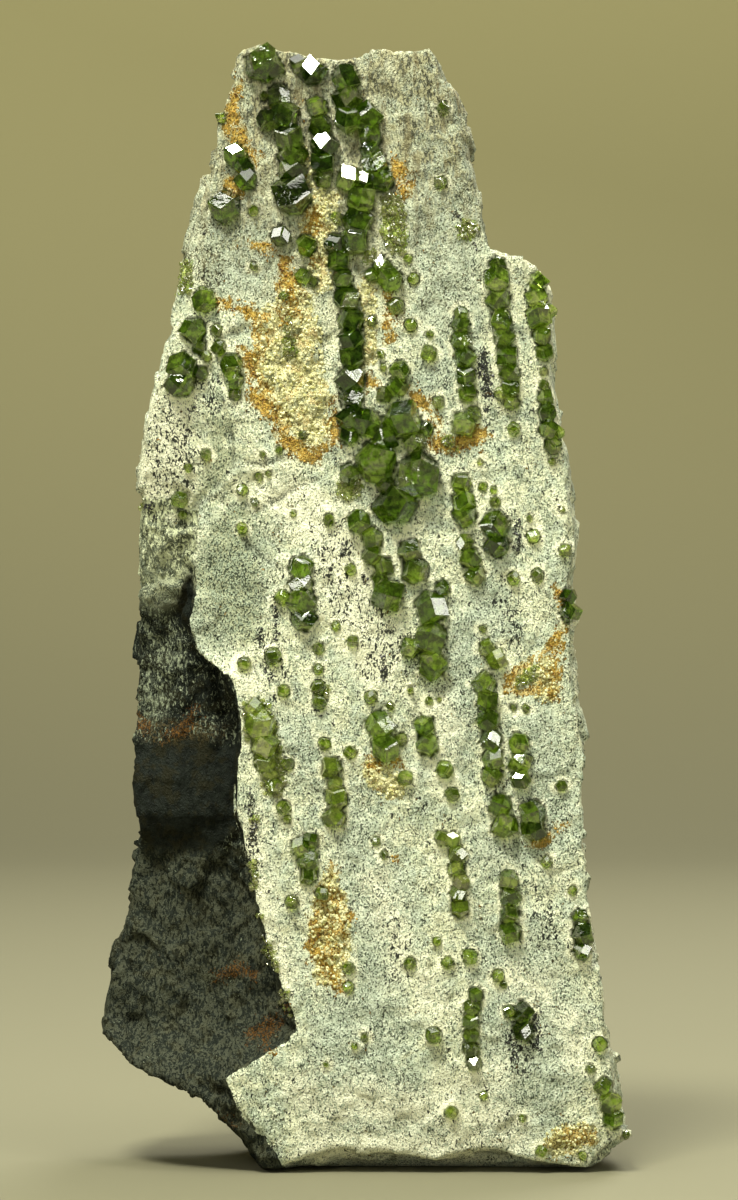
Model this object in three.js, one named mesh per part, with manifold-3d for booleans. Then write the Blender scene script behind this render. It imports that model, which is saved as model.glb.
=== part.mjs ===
// Demantoid garnet specimen: green dodecahedral crystals in rows on a broken slab of pale rock.
// Millimetres, +Z up. The slab stands on its broken foot and its crystal face looks along -Y.
// x is measured from the middle of the slab, z from its foot and y from the crystal face into the rock.

import * as THREE from 'three';
import { ConvexGeometry } from 'three/addons/geometries/ConvexGeometry.js';
import { mergeVertices } from 'three/addons/utils/BufferGeometryUtils.js';
import Module from 'manifold-3d';

// Driving dimensions of the slab
const SLAB_HEIGHT = 293.5;
const FOOT_DEPTH = 64; // thickness of the slab at its foot
const TOP_DEPTH = 38; // thickness at its top
const FOOT_BLEND = 22; // height over which the broken foot passes into the level rows
const TOP_BLEND = 24; // the same below the broken top
const BEVEL_FROM = 180; // height where the flank passes into a pale bevel
const FOOT_FLAT_FROM = 15; // distance behind the face where the flat part of the foot begins
const STEP_RUN = 1.2; // width of the wall between the light face and the dark flank
const LEFT_ROUND = 1.6; // width of the rounded border between the flank and the left side
const FOOT_EDGE_DEPTH = 3; // thickness of the foot's raised front edge
const TOP_FALL = 0.16; // fall of the broken top from front to back
const BACK_ROUNDING = 9; // how far the back corners are broken away
const BACK_INSET = 5; // how much narrower the back is at each side
const BACK_PROUD = 3; // how far the back's middle stands out of the plane taper
const FAR_LINE_INSET = 1.2; // how far the rear line down each side lies inside the outline

// Roughness of the broken faces, as the largest random shift of a point
const FLANK_ROUGH = 0.7;
const BEVEL_ROUGH = 0.1; // on the pale bevel that follows above the dark flank
const SIDE_ROUGH = 0.7;
const BACK_ROUGH = 1.3;

// The light face's broad facets, which fall back from a line at x between two heights
const LEFT_FACET = { x: -38, slope: 0.25, low: 178, high: 300, margin: 8 };
const LOWER_LEFT_FACET = { x: -25, slope: 0.28, low: 136, high: 178, margin: 8 };
const RIGHT_FACET = { x: 43, slope: 0.1 };
const FOOT_FACET = { height: 25, slope: 0.1 };
// The smooth lens that stands out of the dark flank
const LENS = { bulge: 2.2, low: 88, high: 110, left: -58, right: -38, marginX: 6, marginZ: 5 };
// The back's slow waves, and its two ledges that run aslant across it
const BACK_WAVE = { height: 3.2, turnX: 0.06, startX: 0.8, turnZ: 0.024, startZ: 0.5 };
const BACK_LEDGES = [
  { depth: 4, slope: 0.5, low: 108, high: 114 },
  { depth: 3, slope: -0.8, low: 205, high: 211 },
];

// Crystals
const SEAT_GAP = 0.4; // clearance between a crystal and the rock that it sits on
const FOOTPRINT = [-0.8, -0.4, 0, 0.4, 0.8]; // shares of the radius where the rock's depth is tried
const PLATE_SIZE = 300; // side of the plate that stands for the rock when crystals are cut off behind
const PROUD = 0.16; // how far a crystal's centre stands out of the face, as a share of its radius
const CORNER_SHARE = 1.235; // a dodecahedron's corner distance as a share of its mean radius
const WELD = 1e-4; // points closer than this are one point
const SEED = 29;

const ROCK_COLOUR = 0xc9cbb4;
const GARNET_COLOUR = 0x2f4f12;

// Heights of the slab's rows of points
const levels = [
  0, 4, 8, 13, 18.5, 21, 25, 30, 34, 38, 45, 53, 62, 72, 81, 87, 93, 102, 111, 120, 129, 136,
  144, 154, 165, 174, 183, 193, 204, 216, 228, 236, 238.6, 241, 252, 264, 275, 284, SLAB_HEIGHT,
];

// Outline of the slab as seen from the front: [height, x]
const leftEdge = [
  [0, -28], [3, -29.5], [9, -33], [12.5, -37], [18.5, -43], [21, -47.7], [25, -57.3], [30, -64.4],
  [34, -69.3], [38, -69.7], [44, -68.3], [53, -67.7], [57, -66.5], [64.5, -64.1], [79, -62.6],
  [87, -61.2], [91, -60.5], [105, -63], [120, -62.3], [140, -61], [160, -60], [190, -59],
  [200, -57.5], [210, -55], [220, -51], [230, -50], [240, -48], [250, -45], [260, -42],
  [265, -40], [275, -40], [285, -36], [293.5, -33.9],
];
const rightEdge = [
  [0, 60], [3.5, 63], [6, 65.4], [7.7, 69.2], [10, 69.6], [17, 68.3], [27.6, 66.2], [36, 64.1],
  [47, 63.1], [55.6, 61.2], [66, 61], [75, 59], [100, 58], [110, 58.5], [120, 57], [132, 55],
  [145, 56], [155, 54.5], [170, 55], [185, 54], [195, 51.2], [205, 50], [219, 49.9], [228, 49.2],
  [235, 46.9], [238.5, 42], [240, 33.9], [247, 32.6], [258, 30.5], [272.7, 27.9], [283, 26.3],
  [287, 24.7], [293.5, 19.5],
];
// Heights of the broken front edge at the foot and at the top: [x, height]
const footEdge = [
  [-40, 1], [-22, 1], [-19, 3.5], [-12, 5.5], [-4, 8.5], [3, 7], [8, 4.5], [15, 2.5], [21, 5.5],
  [28, 7], [35, 6.5], [44, 3.5], [50, 1.2], [60, 1.5], [70, 4],
];
const topEdge = [
  [-36, 291.9], [-27, 293], [-21.5, 292.9], [-16, 291.6], [-10, 289.7], [-3, 289.7],
  [-0.8, 292.6], [3, 293.2], [7.7, 292.1], [14.6, 293.5], [16.8, 293.2], [20.4, 289.8],
  [26, 286],
];
// Border between the light face and the dark flank at its left: [height, x]
const flankBorder = [
  [0, -20], [8, -25], [15, -32], [20, -35], [25, -36.5], [29, -30], [33.5, -22], [38, -18],
  [47, -21.5], [57, -25.5], [70, -28.5], [83, -31.5], [96, -34.5], [110, -33.4], [115, -32.4],
  [128, -34.8], [131, -38], [136, -45], [143, -47], [151, -44.8], [169, -45], [174, -43.5],
  [183, -34.5], [193, -34.2], [201, -38], [240, -34], [270, -26], [293.5, -24],
];
// How far the flank lies behind the light face at that border: [height, depth]
const flankDepth = [
  [0, 0.8], [20, 1.6], [30, 3], [38, 7], [57, 11], [78, 14], [84, 15], [90, 13], [100, 13],
  [112, 14], [131, 13], [143, 9], [150, 7.5], [166, 3.5], [173, 1.8], [182, 2.2], [194, 2],
  [202, 0.8], [293.5, 0.6],
];
// Slope of the flank towards the slab's left side: [height, rise per millimetre]
const flankSlope = [
  [0, 0.1], [30, 0.25], [60, 0.3], [84, 0.34], [90, 0.2], [112, 0.24], [131, 0.34], [160, 0.3],
  [180, 0.22], [293.5, 0.2],
];
// Width of the rounded border of the light face along its right side: [height, width]
const rightRound = [[0, 2], [250, 1.8], [257, 3.6], [274, 4], [285, 3.6], [293.5, 3]];

// Places across the face, as shares of the flank and of the light face
const flankShares = [0, 0.33, 0.67, 1];
const faceShares = [0, 0.14, 0.31, 0.48, 0.65, 0.82, 1];
const columns = flankShares.length + faceShares.length;
// Places of the two lines down each side, as shares of the slab's thickness
const SIDE_LINES = [0.22, 0.62];

// Crystals that stand together, by name: [x, z, mean radius]
const crystalGroups = {
  top_left_crystal: [[-26.3, 288.9, 5]],
  top_middle_pair: [[-13.7, 286.9, 3.7], [-16.9, 288.7, 2.6]],
  upper_left_row: [
    [-22.4, 280.6, 3.3], [-25.2, 274.6, 3], [-21.1, 275.4, 3.9], [-19.4, 269.6, 4.1],
    [-19, 265, 3.8], [-18.8, 261.2, 3.8], [-18.6, 254.8, 5.2],
  ],
  upper_middle_row: [
    [-12.2, 277.6, 2.9], [-11.6, 273, 3.1], [-10.6, 267.8, 3.6], [-10.8, 263, 3.3], [-10.9, 259.2, 2.6],
  ],
  main_column: [
    [-4.9, 285.2, 3.7], [-4.6, 280, 3.5], [-4.4, 274.4, 3.5], [0.7, 275, 3.8], [1.4, 270.3, 3.1],
    [1.4, 266.4, 2.8], [2.7, 262.8, 3.4], [4.7, 258.6, 3.1], [0, 258.4, 2.6], [-3.9, 259.2, 3.5],
    [-1, 253.6, 3.9], [-1.8, 247.6, 4], [-3, 242.8, 4], [-7.6, 242.2, 3], [-6.6, 237.8, 3.1],
    [-5.6, 232.9, 3], [-4.5, 227.8, 3.6], [-3.5, 222, 3.7], [-3.1, 217.2, 3.3],
    [-3.1, 212.7, 3.4], [-3.5, 206.6, 3.9], [-3.5, 201.4, 3.3], [-4.3, 196.6, 2.9],
    [-4.2, 192.2, 2.8], [0.6, 195.4, 3.9], [9.7, 196.2, 5], [5.2, 191.2, 3.4], [3, 185.2, 5.4],
    [-4, 182.5, 2.9], [14, 182.2, 5.9], [12.8, 190.6, 3.1], [7.9, 174, 5.2], [16.1, 194, 2.1],
  ],
  column_right_row: [[9.2, 209, 2.8], [8.4, 204.8, 2.8], [5, 203, 2.2]],
  left_upper_trio: [[-33.5, 265.5, 3.3], [-31.5, 262.8, 2.7], [-30.5, 258.8, 3.1]],
  left_upper_crystal: [[-36.2, 252, 4.3]],
  shoulder_crystal: [[-21.9, 244.3, 2.9]],
  column_left_crystal: [[-15, 241.8, 2.9]],
  column_left_pair: [[-15.9, 233.8, 2.3], [-13.2, 232.2, 1.6]],
  left_group_top: [[-41.8, 227.8, 3.4]],
  left_group_middle: [[-44.4, 219.8, 3.5], [-42.8, 215.4, 2.1]],
  left_group_big: [[-47.6, 210.2, 4.2], [-48, 206.2, 3.9], [-42.6, 208.7, 2]],
  left_group_right: [[-34.7, 211, 2.9], [-34, 206.6, 2.5]],
  column_right_trio: [[2, 233.8, 2.1], [4.5, 236.4, 2.5], [6.7, 233, 3.4]],
  inner_row: [
    [25.3, 224, 2], [25.1, 220.8, 2.5], [24.9, 217, 2.7], [26.1, 212.4, 2.9], [26.5, 207.8, 2.8],
    [26.8, 203.6, 2.6],
  ],
  inner_row_foot: [[25.5, 195.2, 3.2], [28.3, 198, 2.1]],
  notch_row: [
    [34.4, 236.6, 2.4], [34.4, 232.8, 3.6], [34.8, 227.4, 3.2], [35.5, 222.4, 3], [36.2, 217.6, 2.9],
    [37, 212.8, 2.9], [37.9, 208.4, 2.8], [37.9, 204.2, 2.6], [38.2, 200.9, 2.2],
  ],
  right_edge_row: [
    [45.2, 232.2, 2.7], [44.8, 227.8, 3], [45.2, 223.4, 3.5], [48.4, 224.8, 1.9],
    [45.9, 218.2, 2.6], [47, 213.8, 2.6],
  ],
  right_edge_foot: [
    [46.9, 202.2, 2.3], [47.3, 198.2, 2.6], [47.8, 193.8, 2.6], [50.6, 193.2, 1.8], [48.8, 189.6, 2.4],
  ],
  centre_left_row: [
    [-1.6, 169.8, 3.3], [2, 165.6, 2.9], [1.8, 161.2, 2.7], [5.2, 158.2, 2.7], [3.8, 154.9, 2.2],
    [6, 150.9, 4.3],
  ],
  centre_right_pair: [[11.6, 162.4, 3.2], [13.1, 157, 3.5]],
  right_row_head: [[25.1, 179.9, 2.9], [25.6, 175, 3.1], [26, 171.6, 3.1]],
  right_row_foot: [[26, 164.6, 2.4], [27.6, 160.4, 2.9], [28.8, 156, 2.7]],
  right_big_pair: [[34.2, 169.2, 3.9], [34.4, 163.8, 3.3]],
  middle_row: [
    [20.3, 152.6, 2.1], [17.2, 147.6, 4.4], [17.2, 139.6, 4.4], [17.6, 132.8, 3.9], [11.8, 136.9, 2.7],
  ],
  right_edge_dark_pair: [[53.2, 150.4, 2.3], [53.5, 146.2, 2.8]],
  left_row: [
    [-16.8, 158, 3.4], [-16.4, 153.6, 3.2], [-16.2, 149.2, 3.9], [-15.8, 144.6, 3.3],
  ],
  left_pale_row: [
    [-28.6, 121.4, 2.6], [-27, 117, 4.1], [-26, 111.6, 3.6], [-26, 107.2, 2.9], [-24.8, 104, 2.2],
    [-23.7, 101.2, 2.4],
  ],
  low_left_row: [[-8.6, 106.2, 3], [-7.4, 101.8, 2.3], [-7.2, 98, 3], [-7.8, 92.9, 3]],
  low_middle_crystals: [[4, 117, 3.8], [5.6, 111.4, 4]],
  low_middle_pair: [[15.8, 116.8, 2.9], [16.3, 111.9, 3.2]],
  right_small_pair: [[31.7, 137.1, 2.2], [34.3, 134.1, 2.7]],
  right_row: [
    [31.2, 128, 3], [31.9, 123, 3], [32.2, 118, 3.2], [33, 113, 2.9], [33.4, 108.2, 2.9],
    [32.9, 103.6, 2.7],
  ],
  right_row_end: [[35.3, 96.2, 3.1], [36.6, 91, 3.4]],
  right_short_row: [[40.3, 112.3, 2.9], [40.5, 107.4, 3], [40.5, 102.9, 2.8]],
  right_low_pair: [[43.7, 94.2, 3.4], [43.9, 90, 3.2]],
  foot_middle_row: [
    [20, 87.8, 2], [22.9, 87.2, 2.2], [24, 83.4, 2.5], [23.8, 79.6, 2.4], [25.2, 76.2, 2.3],
    [24.3, 72.9, 2.3], [24.8, 69.2, 2.5],
  ],
  foot_right_row: [[37.5, 76.8, 2.7], [37.7, 72.4, 2.7], [37.9, 67.9, 2.7], [37.9, 63.2, 3]],
  foot_left_group: [[-16.9, 85.2, 2.6], [-14.1, 87, 2.2], [-14.6, 81.6, 2.9], [-14.6, 77.8, 2.4]],
  right_edge_low_row: [[56.2, 67, 2.4], [56.8, 62.6, 3], [56.5, 58.2, 2.5]],
  foot_small_row: [
    [29, 46.8, 2.1], [27.8, 43.6, 2.4], [27.5, 39.8, 2.3], [27.6, 36.2, 2.2], [27.7, 32.6, 2.2],
    [28.4, 29.2, 2.1],
  ],
  foot_dark_pair: [[41, 42.2, 2.8], [41.5, 37.5, 2.9]],
  corner_group: [[62.4, 22.8, 2.5], [64, 18.6, 3.1], [64.8, 14.1, 2.8]],
};

// Small lone crystals, which stay part of the rock: [x, z, mean radius]
const loneCrystals = [
  [19.8, 258, 1.9], [12.8, 233, 1.7], [8.2, 225.9, 2.3], [12.1, 221, 1.9], [16.8, 213.7, 2.1],
  [-3.6, 157.4, 1.6], [43.9, 166.1, 2], [38.8, 155.1, 1.9], [45, 156, 1.9], [-48.5, 175.8, 2.3],
  [-31.8, 178.2, 1.6], [-23.8, 134.9, 2.4], [-31.3, 133, 1.8], [-21, 125.9, 1.8],
  [-11.9, 126.8, 2.1], [1.7, 124.3, 1.9], [-20, 106.8, 1.9], [-21, 95.6, 2], [-10.4, 112.2, 1.8],
  [10.6, 103.3, 2], [20.9, 105.5, 2.3], [22.8, 99, 1.9], [-11, 73.2, 1.8], [-18.8, 71, 1.9],
  [21.6, 55.3, 1.7], [27.4, 56.8, 2.2], [34.8, 51.8, 1.8], [18, 36.4, 2.3], [61.3, 33.9, 2.1],
];

const wasm = await Module();
wasm.setup();

// Reads a list of [place, value] pairs as a straight-lined curve
function along(list, place) {
  if (place <= list[0][0]) return list[0][1];
  for (let i = 1; i < list.length; i += 1) {
    const [from, to] = [list[i - 1], list[i]];
    if (place <= to[0]) return THREE.MathUtils.mapLinear(place, from[0], to[0], from[1], to[1]);
  }
  return list[list.length - 1][1];
}

// 1 between low and high, falling to 0 over a soft margin on both sides
function band(value, low, high, margin) {
  const rising = THREE.MathUtils.smoothstep(value, low - margin, low);
  return rising * (1 - THREE.MathUtils.smoothstep(value, high, high + margin));
}

// Depth of the light face behind its foremost plane, with its broad facets
function faceDepth(x, z) {
  const facet = (f) => Math.max(0, f.x - x) * f.slope * band(z, f.low, f.high, f.margin);
  const footLean = FOOT_FACET.slope * Math.max(0, FOOT_FACET.height - z);
  const rightLean = Math.max(0, x - RIGHT_FACET.x) * RIGHT_FACET.slope;
  return facet(LEFT_FACET) + facet(LOWER_LEFT_FACET) + footLean + rightLean;
}

// Depth of the rock's front at a place, on the light face or on the dark flank
function frontDepth(x, z) {
  const border = along(flankBorder, z);
  if (x >= border) return faceDepth(x, z);
  const across = band(x, LENS.left, LENS.right, LENS.marginX);
  const lens = -LENS.bulge * band(z, LENS.low, LENS.high, LENS.marginZ) * across;
  return faceDepth(border, z) + along(flankDepth, z) + (border - x) * along(flankSlope, z) + lens;
}

// Depth of the slab's back at a place, given how far across the slab it is (0 to 1)
function backDepth(x, z, across) {
  const taper = THREE.MathUtils.mapLinear(z, 0, SLAB_HEIGHT, FOOT_DEPTH, TOP_DEPTH);
  const edge = Math.abs(2 * across - 1) ** 3 * BACK_ROUNDING;
  const { height, turnX, startX, turnZ, startZ } = BACK_WAVE;
  const wave = height * Math.sin(x * turnX + startX) * Math.sin(z * turnZ + startZ);
  const [lowLedge, highLedge] = BACK_LEDGES.map(({ depth, slope, low, high }) => (
    depth * THREE.MathUtils.smoothstep(z + slope * x, low, high)
  ));
  return taper - edge + wave - lowLedge - highLedge + BACK_PROUD;
}

// Height of a point of a row, bent to the broken edges at the foot and at the top
function heightAt(level, x, y) {
  const raised = 1 - THREE.MathUtils.smoothstep(y, FOOT_EDGE_DEPTH, FOOT_FLAT_FROM);
  if (level < FOOT_BLEND) {
    const foot = along(footEdge, x) * raised;
    return foot + (level * (FOOT_BLEND - foot)) / FOOT_BLEND;
  }
  const shoulder = SLAB_HEIGHT - TOP_BLEND;
  if (level > shoulder) {
    const top = along(topEdge, x) - TOP_FALL * y;
    return shoulder + ((level - shoulder) * (top - shoulder)) / TOP_BLEND;
  }
  return level;
}

// One row of the slab: front points from left to right, then the two side lines and the back
function slabRow(level) {
  const seeded = (amount) => (level === 0 ? 0 : amount * (2 * THREE.MathUtils.seededRandom() - 1));
  const left = along(leftEdge, level);
  const right = along(rightEdge, level);
  const border = along(flankBorder, level);
  const leftCorner = left + LEFT_ROUND;
  const rightCorner = right - along(rightRound, level);
  const mix = THREE.MathUtils.lerp;
  const xs = [
    ...flankShares.map((share) => mix(leftCorner, border - STEP_RUN / 2, share)),
    ...faceShares.map((share) => mix(border + STEP_RUN / 2, rightCorner, share)),
  ];
  const flankRough = level < BEVEL_FROM ? FLANK_ROUGH : BEVEL_ROUGH;
  const rough = xs.map((x) => (x < border ? flankRough : 0));
  const front = xs.map((x, i) => new THREE.Vector2(x, frontDepth(x, level) + seeded(rough[i])));
  const back = xs.map((x, i) => {
    const across = i / (columns - 1);
    const backX = mix(left + BACK_INSET, right - BACK_INSET, across);
    return new THREE.Vector2(backX, backDepth(backX, level, across) + seeded(BACK_ROUGH));
  });
  const sideLine = (share, inset) => {
    const first = front[0].clone().lerp(back[0], share);
    const last = front[columns - 1].clone().lerp(back[columns - 1], share);
    first.x = left + inset + Math.abs(seeded(SIDE_ROUGH));
    last.x = right - inset - Math.abs(seeded(SIDE_ROUGH));
    return [first, last];
  };
  const [near, far] = SIDE_LINES;
  const lines = [front, sideLine(near, 0), sideLine(far, FAR_LINE_INSET), back];
  return lines.map((line) => line.map((p) => new THREE.Vector3(p.x, p.y, heightAt(level, p.x, p.y))));
}

// The slab as one closed mesh: rows of points up its sides, and a net over its foot and its top
function slabGeometry() {
  THREE.MathUtils.seededRandom(SEED);
  const points = [];
  const faces = [];
  const add = (point) => points.push(point.x, point.y, point.z) / 3 - 1;
  const quad = (a, b, c, d) => faces.push(a, b, c, a, c, d);

  const rings = levels.map((level) => {
    const [front, near, far, back] = slabRow(level);
    const order = [...front, near[1], far[1], ...[...back].reverse(), far[0], near[0]];
    return order.map(add);
  });
  const count = rings[0].length;
  for (let row = 1; row < rings.length; row += 1) {
    for (let i = 0; i < count; i += 1) {
      const next = (i + 1) % count;
      quad(rings[row - 1][i], rings[row - 1][next], rings[row][next], rings[row][i]);
    }
  }

  // A net of four lines across the slab, whose two inner lines are new points
  const net = (ring, level) => {
    const front = ring.slice(0, columns);
    const back = ring.slice(columns + 2, 2 * columns + 2).reverse();
    const ends = [[ring[count - 1], ring[columns]], [ring[count - 2], ring[columns + 1]]];
    const middle = ends.map(([first, last], line) => front.map((index, i) => {
      if (i === 0) return first;
      if (i === columns - 1) return last;
      const a = new THREE.Vector3().fromArray(points, 3 * index);
      const b = new THREE.Vector3().fromArray(points, 3 * back[i]);
      const p = a.lerp(b, SIDE_LINES[line]);
      p.z = heightAt(level, p.x, p.y);
      return add(p);
    }));
    return [front, ...middle, back];
  };
  const cap = (lines, upward) => {
    for (let j = 1; j < lines.length; j += 1) {
      for (let i = 1; i < columns; i += 1) {
        const [a, b, c, d] = [lines[j - 1][i - 1], lines[j - 1][i], lines[j][i], lines[j][i - 1]];
        if (upward) quad(a, b, c, d);
        else quad(a, d, c, b);
      }
    }
  };
  cap(net(rings[0], 0), false);
  cap(net(rings[rings.length - 1], SLAB_HEIGHT), true);

  const geometry = new THREE.BufferGeometry();
  geometry.setAttribute('position', new THREE.Float32BufferAttribute(points, 3));
  geometry.setIndex(faces);
  return geometry;
}

// A rhombic dodecahedron, the form in which garnet grows, with its mean radius as given
function garnetGeometry(radius) {
  const corner = (radius * CORNER_SHARE) / 2;
  const points = [];
  for (const x of [-1, 1]) for (const y of [-1, 1]) for (const z of [-1, 1]) points.push([x, y, z]);
  for (const s of [-2, 2]) points.push([s, 0, 0], [0, s, 0], [0, 0, s]);
  return new ConvexGeometry(points.map((p) => new THREE.Vector3(...p).multiplyScalar(corner)));
}

function solidFrom(geometry) {
  const bare = geometry.clone();
  bare.deleteAttribute('normal');
  bare.deleteAttribute('uv');
  const merged = mergeVertices(bare, WELD);
  return new wasm.Manifold(new wasm.Mesh({
    numProp: 3,
    vertProperties: new Float32Array(merged.attributes.position.array),
    triVerts: new Uint32Array(merged.index.array),
  }));
}

function geometryFrom(solid) {
  const mesh = solid.getMesh();
  const geometry = new THREE.BufferGeometry();
  geometry.setAttribute('position', new THREE.BufferAttribute(mesh.vertProperties, 3));
  geometry.setIndex(new THREE.BufferAttribute(mesh.triVerts, 1));
  geometry.computeVertexNormals();
  return geometry;
}

// The rock behind a group of crystals as a thick plate along the face, a clearance in front of it
function seatGeometry(crystals) {
  const mean = (index) => crystals.reduce((sum, crystal) => sum + crystal[index], 0) / crystals.length;
  const [x, z] = [mean(0), mean(1)];
  const slopeX = (frontDepth(x + 1, z) - frontDepth(x - 1, z)) / 2;
  const slopeZ = (frontDepth(x, z + 1) - frontDepth(x, z - 1)) / 2;
  const levelled = [];
  for (const [crystalX, crystalZ, radius] of crystals) {
    for (const across of FOOTPRINT) {
      for (const up of FOOTPRINT) {
        const atX = crystalX + CORNER_SHARE * radius * across;
        const atZ = crystalZ + CORNER_SHARE * radius * up;
        levelled.push(frontDepth(atX, atZ) - slopeX * (atX - x) - slopeZ * (atZ - z));
      }
    }
  }
  const outward = new THREE.Vector3(slopeX, -1, slopeZ).normalize();
  const plate = new THREE.BoxGeometry(PLATE_SIZE, PLATE_SIZE, PLATE_SIZE);
  plate.translate(0, -PLATE_SIZE / 2, 0);
  plate.applyQuaternion(new THREE.Quaternion().setFromUnitVectors(THREE.Object3D.DEFAULT_UP, outward));
  plate.translate(x, Math.min(...levelled) - SEAT_GAP, z);
  return plate;
}

// One crystal, turned its own way, with its centre a little in front of the rock
function crystalSolid([x, z, radius]) {
  const turn = new THREE.Euler(
    Math.PI * THREE.MathUtils.seededRandom(),
    Math.PI * THREE.MathUtils.seededRandom(),
    Math.PI * THREE.MathUtils.seededRandom(),
  );
  const geometry = garnetGeometry(radius);
  geometry.applyMatrix4(new THREE.Matrix4().makeRotationFromEuler(turn));
  geometry.translate(x, frontDepth(x, z) - PROUD * radius, z);
  return solidFrom(geometry);
}

function joined(solids) {
  return solids.reduce((whole, solid) => whole.add(solid));
}

function namedMesh(name, solid, material) {
  const mesh = new THREE.Mesh(geometryFrom(solid), material);
  mesh.name = name;
  return mesh;
}

const rock = new THREE.MeshStandardMaterial({ color: ROCK_COLOUR, roughness: 0.9, metalness: 0 });
const garnet = new THREE.MeshStandardMaterial({ color: GARNET_COLOUR, roughness: 0.1, metalness: 0 });

const specimen = new THREE.Group();
const matrix = joined([solidFrom(slabGeometry()), ...loneCrystals.map(crystalSolid)]);
specimen.add(namedMesh('matrix', matrix, rock));
for (const [name, crystals] of Object.entries(crystalGroups)) {
  const grown = joined(crystals.map(crystalSolid));
  specimen.add(namedMesh(name, grown.subtract(solidFrom(seatGeometry(crystals))), garnet));
}

// The origin lies in the middle of the foot, under the whole specimen's box
const box = new THREE.Box3().setFromObject(specimen);
const middle = box.getCenter(new THREE.Vector3());
specimen.position.set(-middle.x, -middle.y, -box.min.z);

const object = new THREE.Group();
object.add(specimen);

export default object;
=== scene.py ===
# Demantoid garnet specimen: green garnet crystals in rows on a broken slab of pale rock.
# Blender works in metres. The lists below are in millimetres: x to the right, z up from the foot,
# and depth from the plane of the crystal face into the rock, which is frame Y less the plane's own Y.

import math

import bmesh
import bpy
import numpy as np
from mathutils import Euler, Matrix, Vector
from mathutils.bvhtree import BVHTree
from mathutils.kdtree import KDTree


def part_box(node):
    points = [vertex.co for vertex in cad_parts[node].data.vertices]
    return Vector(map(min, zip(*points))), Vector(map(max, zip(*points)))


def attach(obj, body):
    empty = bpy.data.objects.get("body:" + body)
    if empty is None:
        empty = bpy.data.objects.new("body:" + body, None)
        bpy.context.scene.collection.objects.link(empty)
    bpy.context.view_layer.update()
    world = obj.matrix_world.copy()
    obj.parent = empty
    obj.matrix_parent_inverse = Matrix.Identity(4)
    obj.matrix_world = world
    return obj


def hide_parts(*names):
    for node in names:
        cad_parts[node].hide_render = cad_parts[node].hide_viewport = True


MM = 0.001

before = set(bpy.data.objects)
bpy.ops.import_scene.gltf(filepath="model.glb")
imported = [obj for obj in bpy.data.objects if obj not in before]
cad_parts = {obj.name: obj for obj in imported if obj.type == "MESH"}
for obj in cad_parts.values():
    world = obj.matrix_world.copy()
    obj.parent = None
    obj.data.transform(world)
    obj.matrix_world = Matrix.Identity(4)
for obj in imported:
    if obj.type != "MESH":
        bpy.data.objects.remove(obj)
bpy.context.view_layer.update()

# Tones of the facets: partly painted light and shade, partly tone by chance
AWAY_FROM_KEY = np.array((0.4, 0.2, -0.9))  # the way that light falls on the crystals
MIDDLE_TONE = 0.45
TONE_BY_DIRECTION = 0.3  # painted light: how much brighter a facet is painted that looks away from the key light
TONE_BY_CHANCE = 0.45
NARROW = 0.35  # mean width in millimetres under which a facet is a narrow edge face, which is painted paler as a highlight

SEAT_GAP = 0.4  # clearance in front of the rock at which the crystals of the model end
FACE_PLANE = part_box("main_column")[1].y / MM + SEAT_GAP  # Y of the crystal face, in millimetres
CORNER_SHARE = 1.235  # a dodecahedron's corner distance as a share of its mean radius
RAY_START = -60  # depth, well in front of the rock, from which rays look for its front
FRONT_LIMIT = 12  # depth behind which no crystal stands
FARTHEST_FRONT = 40  # depth behind which a ray has met the back and not the front
SEED = 7


# Places and sizes of what the rock carries

# Border between the light face and the dark flank at its left: height, x
FLANK_BORDER = (
    (0, -20), (8, -25), (15, -32), (20, -35), (25, -36.5), (29, -30), (33.5, -22), (38, -18),
    (47, -21.5), (57, -25.5), (70, -28.5), (83, -31.5), (96, -34.5), (110, -33.4), (115, -32.4),
    (128, -34.8), (131, -38), (136, -45), (143, -47), (151, -44.8), (169, -45), (174, -43.5),
)
FLANK_TOP = 173  # height where the dark of the flank ends
# Lower edge of the smooth black lens on the flank: x, height
LENS_FOOT = ((-62, 92), (-60, 88), (-55, 84.5), (-50, 82), (-45, 81.5), (-42, 83), (-36, 88), (-32, 92))
LENS_TOP = 112

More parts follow.
